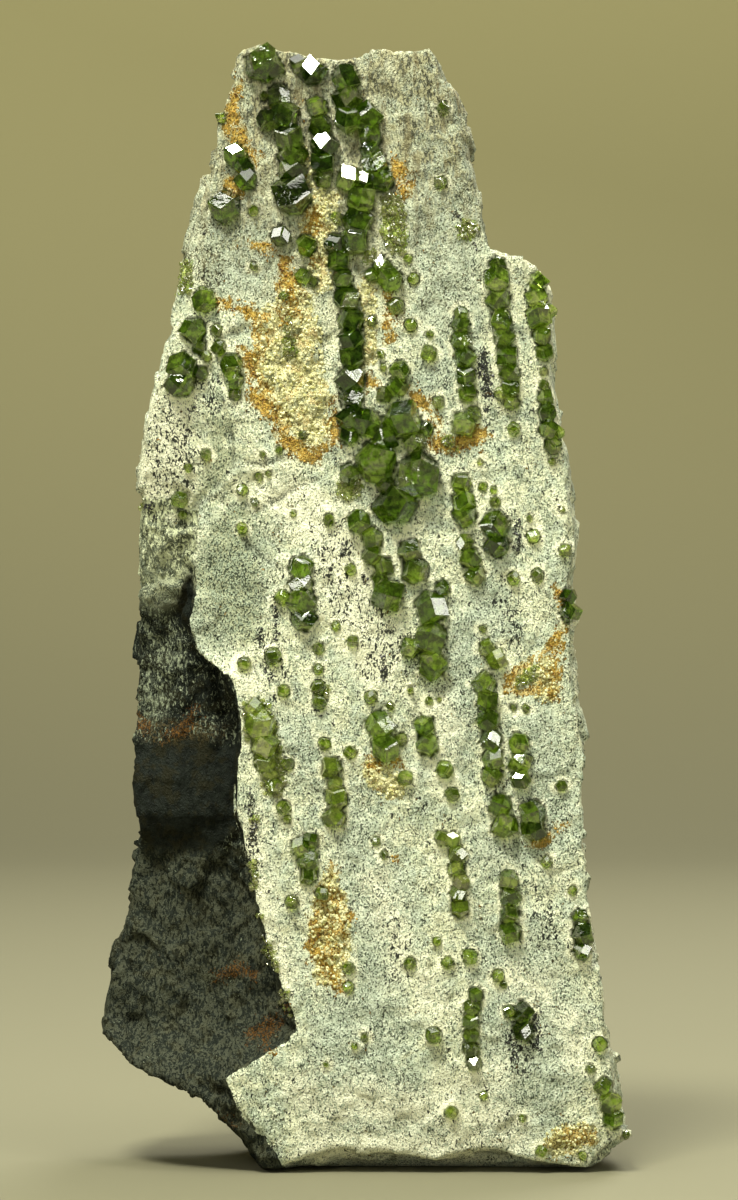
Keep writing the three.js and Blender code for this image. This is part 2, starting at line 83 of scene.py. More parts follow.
# Stains and fields are chains of discs: x, z, radius
RUST = (
    ((-33, 283, 1.5), (-34.5, 277, 1.4), (-34, 272, 1.6), (-31.5, 268, 1.2), (-29, 264, 1.3)),
    ((-34.5, 258, 1.5), (-33, 256, 0.9)),
    ((8, 265, 1.1), (9.5, 260, 1.7), (10, 256, 1.6)),
    ((-28, 242, 1.1), (-25, 240, 1.5)),
    ((-21, 236, 1.2), (-18, 232, 1.6)),
    ((-38, 227, 1), (-34, 226, 1.8), (-30, 224.5, 1.4)),
    ((-30.5, 213, 1.4), (-29.5, 206, 1.6), (-27, 200, 1.7), (-23.5, 195.5, 1.4), (-20.5, 191, 1.6),
     (-16.5, 187.5, 2.2), (-12, 188, 1.3)),
    ((-8, 201, 0.7), (-7.5, 195, 1), (-8, 190, 0.8)),
    ((2, 206, 2.2),),
    ((12, 204, 1.3), (15, 200, 1.8), (18, 197, 1.4)),
    ((-13, 250, 1.8), (-14, 243, 1.4), (-13, 238, 1.2)),
    ((-21, 236, 1.4), (-19, 229, 2.2), (-21, 222, 1.6)),
    ((6, 231, 1.2), (7, 225, 1.6), (6, 218, 1.2)),
    ((-20, 268, 0.7), (-17.5, 260, 0.8), (-15.5, 253, 1.2)),
    ((18, 190.5, 2.2), (23, 189.5, 2.8), (29, 192, 2)),
    ((36.8, 126, 0.9), (38.4, 130, 0.8)),
    ((49, 138, 0.9), (51.6, 142, 1.1)),
    ((50.2, 139, 0.9), (49.8, 132.2, 1), (49.1, 128, 1.1), (48.1, 123.2, 1.2)),
    ((50.5, 152, 0.8), (50.8, 147, 0.6)),
    ((9, 108, 1.2),),
    ((1, 108, 1.1), (3, 106, 1.4)),
    ((-13, 66, 1.2), (-13.5, 60, 1.2), (-11, 53, 1.4), (-7, 50, 1.2)),
    ((-4, 68, 1), (-3, 64, 1.2)),
    ((44, 86, 0.9), (52, 91, 0.9)),
    ((8, 82, 1),),
)
# Rust on the dark flank, which is a stain without loose grains
FLANK_RUST = (
    ((-62, 131, 0.7), (-61.5, 124, 1), (-61, 119, 2), (-58, 116, 2.2)),
    ((-52, 114, 2.2), (-47, 116, 3.2), (-45, 120, 2)),
    ((-38, 50, 1.5), (-33, 52, 2.6), (-29, 51, 1.6)),
    ((-30, 35, 1.6), (-25, 38, 2.4), (-21, 42, 1.6)),
    ((-26, 33, 1.4),),
    ((-37, 14, 1.5), (-34, 12, 1)),
)
# Fields of ochre lumps with cream between them
OCHRE = (
    ((-8.5, 80, 1), (-9, 72, 3.4), (-9, 63, 4.4), (-9.5, 55, 3.6), (-7, 50, 2)),
    ((50, 7.5, 3), (54, 9.5, 3.6), (58, 10.5, 2.6)),
    ((-31, 225, 2), (-27, 221, 2.2), (-28, 212, 1.8), (-26, 204, 2.4), (-22, 196, 2.2), (-16, 190, 2.6)),
    ((37.4, 126, 1.6), (40, 130, 2.4), (45, 134, 2.6), (48.5, 138, 1.6), (51, 141.5, 1.2)),
    ((46, 127, 2.6), (49, 131, 2.4), (49, 124, 2)),
    ((38, 125.5, 1.4), (43, 126.5, 1.6)),
    ((-13, 250, 2.6), (-14, 242, 2)),
    ((-20, 232, 3), (-18, 224, 2)),
)
CREAM = (
    ((-18, 228, 4), (-20, 220, 8), (-20, 210, 9), (-16, 201, 7), (-13, 194, 4.5)),
    ((-11, 252, 4.6), (-12, 247, 4.6)),
    ((-12, 240, 2.6), (-11, 232, 3)),
    ((0.5, 232, 1.6), (1.5, 222, 1.8), (1, 212, 1.6)),
    ((-16.5, 266, 1.2), (-14, 258, 1.4)),
    ((-3.4, 262, 1), (-1.6, 256, 1.1)),
    ((3, 105, 3.2), (7, 101, 3.6)),
    ((-9, 76, 2.4), (-9, 71, 4.4), (-9, 61, 5.6), (-9, 53, 4)),
    ((50, 8, 3.4), (58, 10, 3.4)),
    ((47, 126, 3), (47, 132, 3)),
)
BLACK = (
    ((31, 213, 1.6), (31.5, 208, 1.8), (32, 203, 1.6)),
    ((32, 199, 1),),
    ((33, 193, 0.8),),
    ((24, 249.7, 1.2),),
    ((28.5, 241.5, 1),),
    ((-41, 246, 1.1),),
    ((40, 170, 1), (40, 163, 1.2)),
    ((34.6, 108, 1), (34.4, 98, 1.4)),
    ((-29, 99, 1), (-29, 90, 1), (-30, 82, 1.4)),
    ((-23, 150, 1), (-23, 140, 1)),
    ((-12, 124, 1.1), (-12, 120, 1)),
    ((-57, 174, 1.4), (-56, 171, 1.4)),
    ((5, 135, 1), (5, 129, 1)),
    ((44.4, 43, 0.9), (45.2, 38, 1.1), (45.4, 33, 1)),
    ((38, 36, 0.7), (39.5, 29, 0.8)),
    ((-37.6, 206, 0.7),),
    ((-40, 203.4, 0.7),),
    ((-46, 198, 0.6), (-43.4, 200, 0.6)),
    ((-45.6, 193.4, 0.6), (-47.4, 190.6, 0.5)),
    ((-4.6, 164, 1.2), (-5.6, 161.6, 0.9)),
    ((-11.6, 161.4, 0.8),),
    ((0, 156, 0.8), (0.6, 153.2, 0.7)),
    ((-27, 141.6, 0.9), (-27.4, 138.4, 0.8)),
    ((-26, 131.6, 0.6), (-23.4, 128.4, 0.8)),
    ((10.6, 139.6, 0.8), (9.4, 136.6, 0.8)),
    ((-28.4, 93.4, 0.8), (-29, 88, 0.8)),
    ((24.6, 179, 0.6),),
    ((41.4, 33, 0.7),),
)
# Fields where the pale ground holds loose dark dashes
DASHES = (
    ((-50, 197, 5), (-50, 186, 7), (-52, 176, 4)),
    ((-9, 166, 4), (-8, 156, 5), (-4, 148, 5)),
    ((2, 146, 4), (5, 136, 5), (3, 130, 4)),
    ((-45, 240, 4), (-40, 234, 3)),
    ((37, 148, 3), (40, 140, 2)),
    ((41, 36, 4), (42, 28, 3)),
    ((8, 64, 3), (9, 52, 3)),
    ((-42, 206, 3), (-38, 200, 3)),
    ((10, 138, 3), (12, 130, 3)),
    ((-27, 138, 3), (-24, 128, 3)),
    ((46, 70, 3), (50, 60, 3)),
    ((-28, 92, 2), (-29, 82, 2)),
)
WHITE = (
    ((-51, 197, 7), (-52, 186, 8), (-53, 176, 6)),
    ((-8, 168, 6), (-4, 156, 8), (0, 144, 8), (4, 132, 5)),
    ((-22, 178, 5), (-14, 170, 6)),
    ((-5, 20, 6), (35, 14, 5)),
    ((-30, 92, 3), (-27, 72, 4), (-22, 52, 4)),
    ((20, 120, 4), (20, 108, 4)),
    ((-34, 132, 4), (-30, 128, 4)),
    ((14, 52, 3), (18, 44, 4)),
    ((38, 52, 3), (46, 48, 4)),
    ((54, 40, 4), (56, 30, 4)),
    ((2, 76, 4), (6, 66, 4), (10, 56, 3)),
    ((-8, 14, 5), (-16, 22, 4)),
    ((-12, 8, 5), (5, 7, 5), (22, 7, 6), (40, 9, 4)),
    ((20, 22, 4), (34, 26, 4)),
)
GREY = (
    ((-35, 246, 9), (-33, 234, 8)),
    ((19, 285, 9), (21, 262, 10), (22, 235, 9), (20, 205, 6)),
    ((30, 148, 7), (25, 128, 8), (20, 108, 6)),
    ((43, 115, 8), (48, 90, 8), (32, 85, 7)),
    ((-33, 165, 7), (-35, 152, 9), (-38, 140, 6)),
    ((-20, 115, 5), (-4, 95, 6), (4, 70, 10)),
    ((40, 58, 12), (44, 38, 14), (40, 16, 12)),
    ((0, 48, 10), (-4, 24, 14), (14, 12, 10)),
)
# The dull scarp beside the bevel
DULL = (
    ((-38, 195, 3), (-38.5, 188, 3.4), (-39, 182, 2.6)),
    ((-35, 168, 6), (-36, 156, 9), (-34, 144, 7)),
)
# A nearly black patch high on the flank
DARK_TRIANGLE = (((-46, 155, 1.5), (-47, 146, 3), (-45, 143, 1.5)),)
# Where the flank's middle is thick with pale flecks, and the brown band above its lens
FLECKED = (((-56, 153, 6), (-52, 143, 7), (-53, 133, 6), (-55, 122, 5)),)
BROWN_BAND = (((-63, 118, 2.5), (-56, 115, 3), (-45, 115, 3), (-38, 114, 2)),)
# Granular yellow green fields of tiny crystals
OLIVE = (
    ((7, 253, 2.4), (7.5, 246, 3.2), (9, 241, 1.8)),
    ((27, 246, 2.6),),
    ((-47, 236, 2.2), (-47, 231, 2)),
    ((1.4, 239, 1.8),),
    ((-4, 179, 3),),
    ((-28.5, 93, 0.9),),
    ((-29.4, 81, 1.1), (-28.6, 75, 0.9)),
    ((-27, 67, 0.8),),
    ((-25.6, 60, 1.1), (-23.6, 54, 1)),
    ((-21.4, 47, 1.2), (-20, 42, 0.8)),
    ((-28, 120, 3.6), (-25, 110, 3.4), (-23, 101, 2.6)),
    ((-11, 126, 2),),
    ((-59, 175, 1.4),),
    ((43.5, 130.5, 1.9), (40.5, 128, 1.3)),
    ((22, 190, 2.2),),
    ((-20, 222, 0.9), (-19.4, 213, 1.1)),
)
# Cracks and small ledges as lines on the face: x, z
CRACKS = (
    ((-30.5, 185.4), (-27, 184.7), (-23.5, 185.6), (-21, 187.4)),
    ((-30, 174.2), (-27, 173.2), (-22, 176), (-17, 179.2), (-13, 180.4)),
    ((-40, 176.5), (-43, 174.2), (-44.6, 170), (-44.6, 160), (-44.2, 150)),
    ((-34.6, 193), (-33.9, 188), (-35, 183), (-38.5, 179)),
    ((-21, 157), (-27, 161), (-32, 166)),
    ((36, 100), (35.8, 92), (36.4, 84)),
)

# Lone crystals of the model's rock, which glassy ones replace: x, z, mean radius
LONE = (
    (19.8, 258, 1.9), (12.8, 233, 1.7), (8.2, 225.9, 2.3), (12.1, 221, 1.9), (16.8, 213.7, 2.1),
    (-3.6, 157.4, 1.6), (43.9, 166.1, 2), (38.8, 155.1, 1.9), (45, 156, 1.9), (-48.5, 175.8, 2.3),
    (-31.8, 178.2, 1.6), (-23.8, 134.9, 2.4), (-31.3, 133, 1.8), (-21, 125.9, 1.8),
    (-11.9, 126.8, 2.1), (1.7, 124.3, 1.9), (-20, 106.8, 1.9), (-21, 95.6, 2), (-10.4, 112.2, 1.8),
    (10.6, 103.3, 2), (20.9, 105.5, 2.3), (22.8, 99, 1.9), (-11, 73.2, 1.8), (-18.8, 71, 1.9),
    (21.6, 55.3, 1.7), (27.4, 56.8, 2.2), (34.8, 51.8, 1.8), (18, 36.4, 2.3), (61.3, 33.9, 2.1),
)
# Smaller crystals, which the model leaves out: x, z, mean radius
MINOR = (
    (-26.2, 280.7, 1.3), (-37.4, 275.3, 1.5), (-28.9, 250.7, 1.5), (-20.9, 228.6, 1.3),
    (-28.8, 236.3, 1.1), (-7.3, 249, 1.6), (-18.4, 214.1, 1.3), (-38.5, 219.6, 1.8),
    (-37.8, 215.1, 2), (-41.1, 213, 1.6), (-33.7, 203, 1.8), (11.4, 238.3, 1.2), (2.1, 222, 1.5),
    (17, 218.6, 1), (4.2, 213.4, 1.1), (4.9, 210, 1), (20.4, 277.3, 1.8), (19.2, 201, 1.7),
    (38.8, 194, 1.8), (35.4, 203.2, 1.9), (46.6, 208.9, 1.2), (46.7, 205.4, 1.4), (48.8, 185.5, 1),
    (-9.3, 170.4, 1.6), (-41.3, 187.4, 1.6), (-31.8, 168.1, 1.6), (-26.5, 187.4, 0.9),
    (-22.2, 188.5, 1.1), (-27.5, 181.6, 1.2), (-25, 182.3, 0.8), (-15.9, 192.5, 1.2),
    (-47.7, 171.8, 1.3), (-46, 184, 1.2), (-28.5, 175, 1), (-18.5, 172, 0.9), (34, 175, 1.5),
    (30.8, 179.1, 1.2), (33.6, 178.1, 1), (30.1, 185.3, 0.9), (51.5, 173, 0.9), (43, 170.8, 0.9),
    (52.1, 162.4, 1.7), (-21.3, 150.2, 2.1), (5.4, 179.6, 2.6), (-7.4, 142.7, 1.3),
    (-3.1, 138.8, 1.6), (-11.9, 136.9, 1.7), (-12, 131.5, 1.5), (-11.7, 122.9, 2),
    (16.8, 123.3, 1.2), (6.8, 122, 1.1), (12, 126, 1), (19.5, 123.5, 0.8), (30.8, 142, 1),
    (38.8, 121.5, 1), (42, 121.3, 1.1), (-20.1, 92.5, 1.2), (-3.6, 109.9, 1.7), (9.6, 113.2, 1.8),
    (51.3, 101.1, 1.6), (47.4, 81.3, 1.7), (3, 86.9, 1.2), (5.1, 83.4, 1.2), (-4.1, 54, 1.6),
    (-4.1, 48.8, 1.6), (54.1, 73.9, 1.2), (18.9, 60.7, 1.3), (11.8, 55.1, 1.7), (36.2, 49.5, 1),
    (37.5, 42.6, 1.8), (0, 35.7, 1.1), (-2.6, 33.5, 0.9), (-10, 28.8, 0.7), (31, 20.6, 1.2),
    (22.6, 16.3, 1.7), (41.2, 14.6, 1), (58.8, 27.5, 1.2), (68.5, 9.4, 1.2), (46.1, 5.9, 1.5),
    (56.9, 4.6, 1.3),
)


# Noise and distances

def lattice(ix, iy, iz, seed):
    """A fixed random number from -1 to 1 for each point of a whole-numbered lattice."""
    mixed = ix * 73856093 ^ iy * 19349663 ^ iz * 83492791 ^ seed * 2654435761
    mixed = (mixed ^ (mixed >> 13)) * 1274126177 & 0xFFFFFFFF
    mixed = (mixed ^ (mixed >> 16)) * 2246822519 & 0xFFFFFFFF
    return ((mixed ^ (mixed >> 15)) & 0xFFFF) / 32767.5 - 1


def noise(points, size, seed):
    """Smooth noise from -1 to 1 whose lumps have the given size, one number or one for each axis."""
    grid = points / np.asarray(size, float)
    low = np.floor(grid).astype(np.int64)
    part = grid - low
    part = part * part * (3 - 2 * part)
    total = np.zeros(len(points))
    for dx in (0, 1):
        for dy in (0, 1):
            for dz in (0, 1):
                weight = (part[:, 0] if dx else 1 - part[:, 0])
                weight = weight * (part[:, 1] if dy else 1 - part[:, 1])
                weight = weight * (part[:, 2] if dz else 1 - part[:, 2])
                total += weight * lattice(low[:, 0] + dx, low[:, 1] + dy, low[:, 2] + dz, seed)
    return total


def ridged(points, size, seed):
    """Noise with sharp crests and rounded valleys, from -1 to 1."""
    return 1 - 2 * np.abs(noise(points, size, seed))


def facets(points, size, tilt, step, seed):
    """Broken plates: each cell of a jittered lattice leans its own way and stands at its own height."""
    grid = points / np.asarray(size, float)
    low = np.floor(grid).astype(np.int64)
    best = np.full(len(points), np.inf)
    relief = np.zeros(len(points))
    for dx in (-1, 0, 1):
        for dy in (-1, 0, 1):
            for dz in (-1, 0, 1):
                cell = low + (dx, dy, dz)
                draw = [lattice(cell[:, 0], cell[:, 1], cell[:, 2], seed + i) for i in range(7)]
                offset = grid - cell - 0.5 - 0.4 * np.stack(draw[:3], axis=1)
                reach = (offset * offset).sum(axis=1)
                lean = tilt * (offset * np.stack(draw[3:6], axis=1)).sum(axis=1)
                nearer = reach < best
                best = np.where(nearer, reach, best)
                relief = np.where(nearer, lean + step * draw[6], relief)
    return relief


def smoothstep(low, high, value):
    t = np.clip((value - low) / (high - low), 0, 1)
    return t * t * (3 - 2 * t)


def chain_distance(points, chain):
    """Distance in the x-z plane to a chain of discs: below zero inside it."""
    flat = points[:, [0, 2]]
    if len(chain) == 1:
        x, z, radius = chain[0]
        return np.hypot(flat[:, 0] - x, flat[:, 1] - z) - radius
    nearest = np.full(len(points), np.inf)
    for start, end in zip(chain, chain[1:]):
        a, b = np.array(start[:2], float), np.array(end[:2], float)
        along = np.clip((flat - a) @ (b - a) / ((b - a) @ (b - a)), 0, 1)
        reach = np.linalg.norm(flat - a - along[:, None] * (b - a), axis=1)
        nearest = np.minimum(nearest, reach - start[2] - along * (end[2] - start[2]))
    return nearest


def chains_distance(points, chains, broken, seed):
    """Distance to the nearest of the chains, with an uneven edge."""
    nearest = np.full(len(points), np.inf)
    for chain in chains:
        nearest = np.minimum(nearest, chain_distance(points, chain))
    return nearest + (broken * noise(points, 2.6, seed) + 0.6 * broken * noise(points, 1.1, seed + 1))


def field(points, chains, edge, broken, seed):
    """1 inside any of the chains, falling to 0 over a soft, broken edge."""
    return 1 - smoothstep(-edge, edge, chains_distance(points, chains, broken, seed))


def depth_in(points, chains, broken, seed):
    """0.5 at the edge of the chains, 1 from 2 mm inside them and 0 from 2 mm outside."""
    return np.clip(0.5 - chains_distance(points, chains, broken, seed) / 4, 0, 1)


def lens_of(points):
    """1 in the smooth, nearly black lens of the flank, between its curved lower edge and its top."""
    lower = np.interp(points[:, 0], *np.transpose(LENS_FOOT)) + 0.8 * noise(points, 4, 71)
    upper = LENS_TOP + 4 * noise(points, 9, 72) + 1.5 * noise(points, 3, 73)
    return smoothstep(-0.8, 1.2, points[:, 2] - lower) * smoothstep(-1.5, 3, upper - points[:, 2])


def border_x(heights):
    """x of the border between the light face and the flank at given heights."""
    places = np.array(FLANK_BORDER, float)
    return np.interp(heights, places[:, 0], places[:, 1])


# Meshes as arrays of millimetres

def points_of(mesh):
    """The vertices in millimetres, with Y as depth behind the crystal face."""
    points = np.empty(len(mesh.vertices) * 3)
    mesh.vertices.foreach_get("co", points)
    return points.reshape(-1, 3) / MM - (0, FACE_PLANE, 0)


def set_points(mesh, points):
    mesh.vertices.foreach_set("co", ((points + (0, FACE_PLANE, 0)) * MM).ravel())
    mesh.update()


def normals_of(mesh):
    normals = np.empty(len(mesh.vertices) * 3)
    mesh.vertex_normals.foreach_get("vector", normals)
    return normals.reshape(-1, 3)


def add_attribute(mesh, name, values, domain="POINT"):
    layer = mesh.attributes.new(name, "FLOAT", domain)
    layer.data.foreach_set("value", np.asarray(values, np.float32))


def add_facet_tones(mesh, draws):
    """Gives each facet its own tone: painted shade towards the key light, painted light on the far side,
    and a painted highlight on the narrow edge faces.

    The part by chance is dealt in the order of the mesh's faces. In a few bevelled groups that order
    varies from run to run, so some of their facets change tone between runs.
    """
    normals = np.empty(len(mesh.polygons) * 3)
    mesh.polygons.foreach_get("normal", normals)
    away = normals.reshape(-1, 3) @ AWAY_FROM_KEY
    ends = [tuple(mesh.vertices[index].co for index in edge.vertices) for edge in mesh.edges]
    lengths = [(start - end).length for start, end in ends]
    rims = [sum(lengths[mesh.loops[i].edge_index] for i in face.loop_indices) for face in mesh.polygons]
    widths = [2 * face.area / max(rim, 1e-9) for face, rim in zip(mesh.polygons, rims)]
    narrow = np.array(widths) < NARROW * MM
    # Painted light and shade: the tone rises as the facet looks away from the key light
    tone = MIDDLE_TONE + TONE_BY_DIRECTION * away
    tone += draws.uniform(-TONE_BY_CHANCE, TONE_BY_CHANCE, len(away))
    # Painted highlight: narrow edge faces are painted paler
    add_attribute(mesh, "facet", tone + narrow * draws.uniform(0.1, 0.8, len(away)), "FACE")


def new_object(name, mesh, material):
    """A piece of the specimen: it rides on the one body and wears the given material."""
    piece = bpy.data.objects.new(name, mesh)
    bpy.context.scene.collection.objects.link(piece)
    mesh.materials.clear()
    mesh.materials.append(material)
    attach(piece, "root")
    return piece


def evaluated_mesh(piece):
    """The mesh of a piece with its modifiers applied."""
    graph = bpy.context.evaluated_depsgraph_get()
    return bpy.data.meshes.new_from_object(piece.evaluated_get(graph))


# Shader building

class Shader:
    """A material's node tree, with one short call for each kind of node."""

    def __init__(self, name):
        self.material = bpy.data.materials.new(name)
        self.material.use_nodes = True
        self.tree = self.material.node_tree
        self.tree.nodes.clear()
        self.output = self.tree.nodes.new("ShaderNodeOutputMaterial")
        self.surface = self.tree.nodes.new("ShaderNodeBsdfPrincipled")
        self.link(self.surface.outputs["BSDF"], self.output.inputs["Surface"])
        self.place = self.tree.nodes.new("ShaderNodeTexCoord").outputs["Object"]

    def link(self, source, target):
        self.tree.links.new(source, target)

    def feed(self, socket, value):
        """Sets a socket to a number or colour, or links it to another node's output."""
        if isinstance(value, bpy.types.NodeSocket):
            self.link(value, socket)
        else:
            socket.default_value = value

    def set(self, name, value):
        if isinstance(value, tuple) and len(value) == 3:
            value = (*value, 1)
        self.feed(self.surface.inputs[name], value)

    def stretched(self, scale):
        node = self.tree.nodes.new("ShaderNodeMapping")
        self.link(self.place, node.inputs["Vector"])
        node.inputs["Scale"].default_value = scale
        return node.outputs["Vector"]

    def noise(self, size_mm, detail=2.0, roughness=0.55, place=None, distortion=0.0):
        """Noise from about 0.2 to 0.8 whose grains have the given size."""
        node = self.tree.nodes.new("ShaderNodeTexNoise")
        self.link(place or self.place, node.inputs["Vector"])
        node.inputs["Scale"].default_value = 1 / (size_mm * MM)
        node.inputs["Detail"].default_value = detail
        node.inputs["Roughness"].default_value = roughness
        node.inputs["Distortion"].default_value = distortion
        return node.outputs["Fac"]

    def cells(self, size_mm, output, place):
        node = self.tree.nodes.new("ShaderNodeTexVoronoi")
        self.link(place, node.inputs["Vector"])
        node.inputs["Scale"].default_value = 1 / (size_mm * MM)
        return node.outputs[output]

    def attribute(self, name):
        node = self.tree.nodes.new("ShaderNodeAttribute")
        node.attribute_name = name
        return node.outputs["Fac"]

    def math(self, operation, a, b):
        node = self.tree.nodes.new("ShaderNodeMath")
        node.operation = operation
        self.feed(node.inputs[0], a)
        self.feed(node.inputs[1], b)
        return node.outputs[0]

    def add(self, *values):
        """The sum of several numbers or outputs."""
        total = values[0]
        for value in values[1:]:
            total = self.math("ADD", total, value)
        return total

    def times(self, value, factor):
        return self.math("MULTIPLY", value, factor)

    def broken(self, mask, texture, strength):
        """A mask whose edge is broken up by a texture."""
        return self.add(mask, self.times(self.add(texture, -0.5), strength))

    def ramp(self, value, low, high, start=0.0, end=1.0):
        """Maps low..high to start..end along a smooth step."""
        node = self.tree.nodes.new("ShaderNodeMapRange")
        node.interpolation_type = "SMOOTHSTEP"
        self.feed(node.inputs["Value"], value)
        node.inputs["From Min"].default_value = low
        node.inputs["From Max"].default_value = high
        node.inputs["To Min"].default_value = start
        node.inputs["To Max"].default_value = end
        return node.outputs["Result"]

    def mix(self, share, a, b):
        """Goes from colour a to colour b."""
        node = self.tree.nodes.new("ShaderNodeMix")
        node.data_type = "RGBA"
        self.feed(node.inputs["Factor"], share)
        colours = [socket for socket in node.inputs if socket.type == "RGBA"]
        for socket, value in zip(colours, (a, b)):
            self.feed(socket, (*value, 1) if isinstance(value, tuple) else value)
        return next(socket for socket in node.outputs if socket.type == "RGBA")

    def bump(self, height, distance_mm, strength, before=None):
        node = self.tree.nodes.new("ShaderNodeBump")
        self.feed(node.inputs["Height"], height)
        node.inputs["Distance"].default_value = distance_mm * MM
        node.inputs["Strength"].default_value = strength
        if before is not None:
            self.link(before, node.inputs["Normal"])
        return node.outputs["Normal"]


def rock_material():
    """Pale speckled serpentine rock with rust, cream and black fields, and its near-black flank."""
    shader = Shader("rock")
    tall = shader.stretched((1.0, 1.0, 0.7))
    grain = shader.noise(0.62, 2, 0.6, tall, 0.7)
    fine = shader.noise(0.4, 1, 0.6, tall, 0.5)
    coarse = shader.noise(2.4, 3, 0.6)
    broad = shader.noise(9, 3, 0.6)
    worms = shader.noise(0.85, 1, 0.5, shader.stretched((1.0, 1.0, 0.6)), 1.4)
    streaks = shader.noise(0.75, 2, 0.55, shader.stretched((1.0, 1.0, 0.45)), 0.8)
    names = (
        "white", "grey", "dull", "dashes", "cream", "rust", "black", "olive", "ochre", "crack_shade",
        "flank", "gloss", "flecks", "scarp", "brown", "weathered", "dusky", "halo", "seat", "glow",
    )
    mark = {name: shader.attribute(name) for name in names}
    add, times, ramp, mix, broken = shader.add, shader.times, shader.ramp, shader.mix, shader.broken

    # Pale ground under dense grey green specks
    # The pale rims beside the crystals, partly painted light, carry fewer specks
    lean = add(times(mark["grey"], 0.03), times(mark["white"], -0.045), times(mark["halo"], -0.08),
               times(mark["dull"], 0.035), times(add(shader.noise(6.5, 3, 0.6), -0.5), 0.22),
               times(add(coarse, -0.5), 0.12))
    mottle = shader.noise(5.5, 3, 0.6)
    ground = mix(ramp(mottle, 0.42, 0.58), (0.64, 0.71, 0.57), (0.92, 0.94, 0.71))
    ground = mix(ramp(coarse, 0.4, 0.6, 0.35, 0), ground, (0.78, 0.80, 0.52))
    ground = mix(times(mark["grey"], 0.7), ground, (0.60, 0.67, 0.55))
    ground = mix(times(mark["white"], 0.8), ground, (0.97, 0.96, 0.74))
    ground = mix(times(mark["dull"], 0.8), ground, (0.43, 0.46, 0.29))
    # Pale rims beside the crystals: partly the rock's own pale crust, partly painted light from the
    # crystals
    ground = mix(times(mark["halo"], 0.8), ground, (1.0, 0.99, 0.74))
    speck = mix(mark["grey"], (0.27, 0.33, 0.23), (0.33, 0.40, 0.30))
    colour = mix(times(ramp(add(grain, lean), 0.49, 0.61), 0.80), ground, speck)
    colour = mix(times(ramp(add(fine, lean), 0.57, 0.65), 0.9), colour, (0.028, 0.038, 0.024))
    dash = ramp(add(worms, times(mark["dashes"], 0.125)), 0.66, 0.70)
    dash = shader.math("MAXIMUM", dash, ramp(broken(mark["black"], fine, 1.8), 0.64, 0.74))
    colour = mix(times(dash, 0.96), colour, (0.012, 0.014, 0.013))
    # Painted shade along the cracks and small ledges
    colour = mix(times(mark["crack_shade"], ramp(grain, 0.4, 0.6, 0.3, 0.9)), colour, (0.06, 0.07, 0.045))

    # A browner cast in patches towards the top, with upright veins
    lumpy = shader.noise(4.5, 3, 0.6)
    cast = mix(ramp(streaks, 0.44, 0.56), (0.38, 0.36, 0.21), (0.045, 0.04, 0.02))
    colour = mix(times(mark["dusky"], ramp(lumpy, 0.42, 0.58, 0.4, 0.85)), colour, cast)
    veins = shader.noise(2.4, 3, 0.6, shader.stretched((1.0, 1.0, 0.14)))
    colour = mix(times(mark["dusky"], ramp(veins, 0.5, 0.66, 0.0, 0.6)), colour, (0.22, 0.19, 0.10))

    # Cream crust, yellow green crust and rust, whose rim is browner than its middle
    creamy = mix(ramp(lumpy, 0.46, 0.56), (0.92, 0.89, 0.55), (0.42, 0.45, 0.29))
    creamy = mix(ramp(coarse, 0.42, 0.52, 0.5, 0), creamy, (0.95, 0.90, 0.50))
    creamy = mix(times(ramp(grain, 0.46, 0.58), 0.7), creamy, (0.34, 0.31, 0.12))
    between = ramp(add(times(lumpy, -1.0), coarse), 0.02, 0.14)
    creamy = mix(times(between, 0.5), creamy, (0.60, 0.40, 0.12))
    creamy = mix(times(ramp(fine, 0.56, 0.66), 0.8), creamy, (0.07, 0.07, 0.03))
    colour = mix(ramp(broken(mark["cream"], grain, 1.2), 0.45, 0.6), colour, creamy)
    tan = mix(ramp(grain, 0.42, 0.56), (0.78, 0.63, 0.25), (0.44, 0.26, 0.04))
    tan = mix(ramp(lumpy, 0.48, 0.60, 0.0, 0.55), tan, (0.36, 0.37, 0.16))
    tan = mix(times(ramp(fine, 0.50, 0.60), 0.9), tan, (0.07, 0.045, 0.006))
    lumps = add(times(add(coarse, -0.5), 2.2), times(add(grain, -0.5), 1.0))
    colour = mix(times(ramp(add(mark["ochre"], lumps), 0.5, 0.62), 0.9), colour, tan)
    oily = mix(ramp(grain, 0.4, 0.6), (0.66, 0.76, 0.20), (0.24, 0.34, 0.035))
    colour = mix(times(ramp(broken(mark["olive"], grain, 1.4), 0.5, 0.65), 0.8), colour, oily)
    rim = ramp(mark["rust"], 0.5, 0.85, 0.06, -0.05)
    orange = mix(ramp(add(grain, rim), 0.40, 0.54), (0.60, 0.40, 0.085), (0.31, 0.15, 0.012))
    orange = mix(ramp(add(fine, rim), 0.46, 0.56), orange, (0.06, 0.032, 0.004))
    ragged = broken(mark["rust"], add(grain, times(add(coarse, -0.5), 0.9)), 2.0)
    colour = mix(times(ramp(ragged, 0.48, 0.60), 0.94), colour, orange)
    tinge = ramp(broken(mark["rust"], coarse, 0.8), 0.25, 0.6)
    colour = mix(times(tinge, 0.25), colour, (0.62, 0.46, 0.10))

    # The stained sides and back, and the rock under the crystals painted with light and shade: bright
    # where they are thick, near black where they are thin
    stain = mix(ramp(broad, 0.4, 0.62), (0.30, 0.31, 0.24), (0.42, 0.34, 0.19))
    colour = mix(times(mark["weathered"], 0.45), colour, stain)
    dark_patch = ramp(add(shader.noise(26, 4, 0.62), times(add(coarse, -0.5), 0.2)), 0.5, 0.6)
    colour = mix(times(mark["weathered"], times(dark_patch, 0.7)), colour, (0.10, 0.12, 0.085))
    # Painted glow under the crystals, in place of the light they carry down to the rock
    glow = times(mark["glow"], ramp(coarse, 0.40, 0.62, 0.1, 0.9))
    painted_seat_light = mix(glow, (0.02, 0.03, 0.01), (0.95, 0.97, 0.55))
    colour = mix(mark["seat"], colour, painted_seat_light)

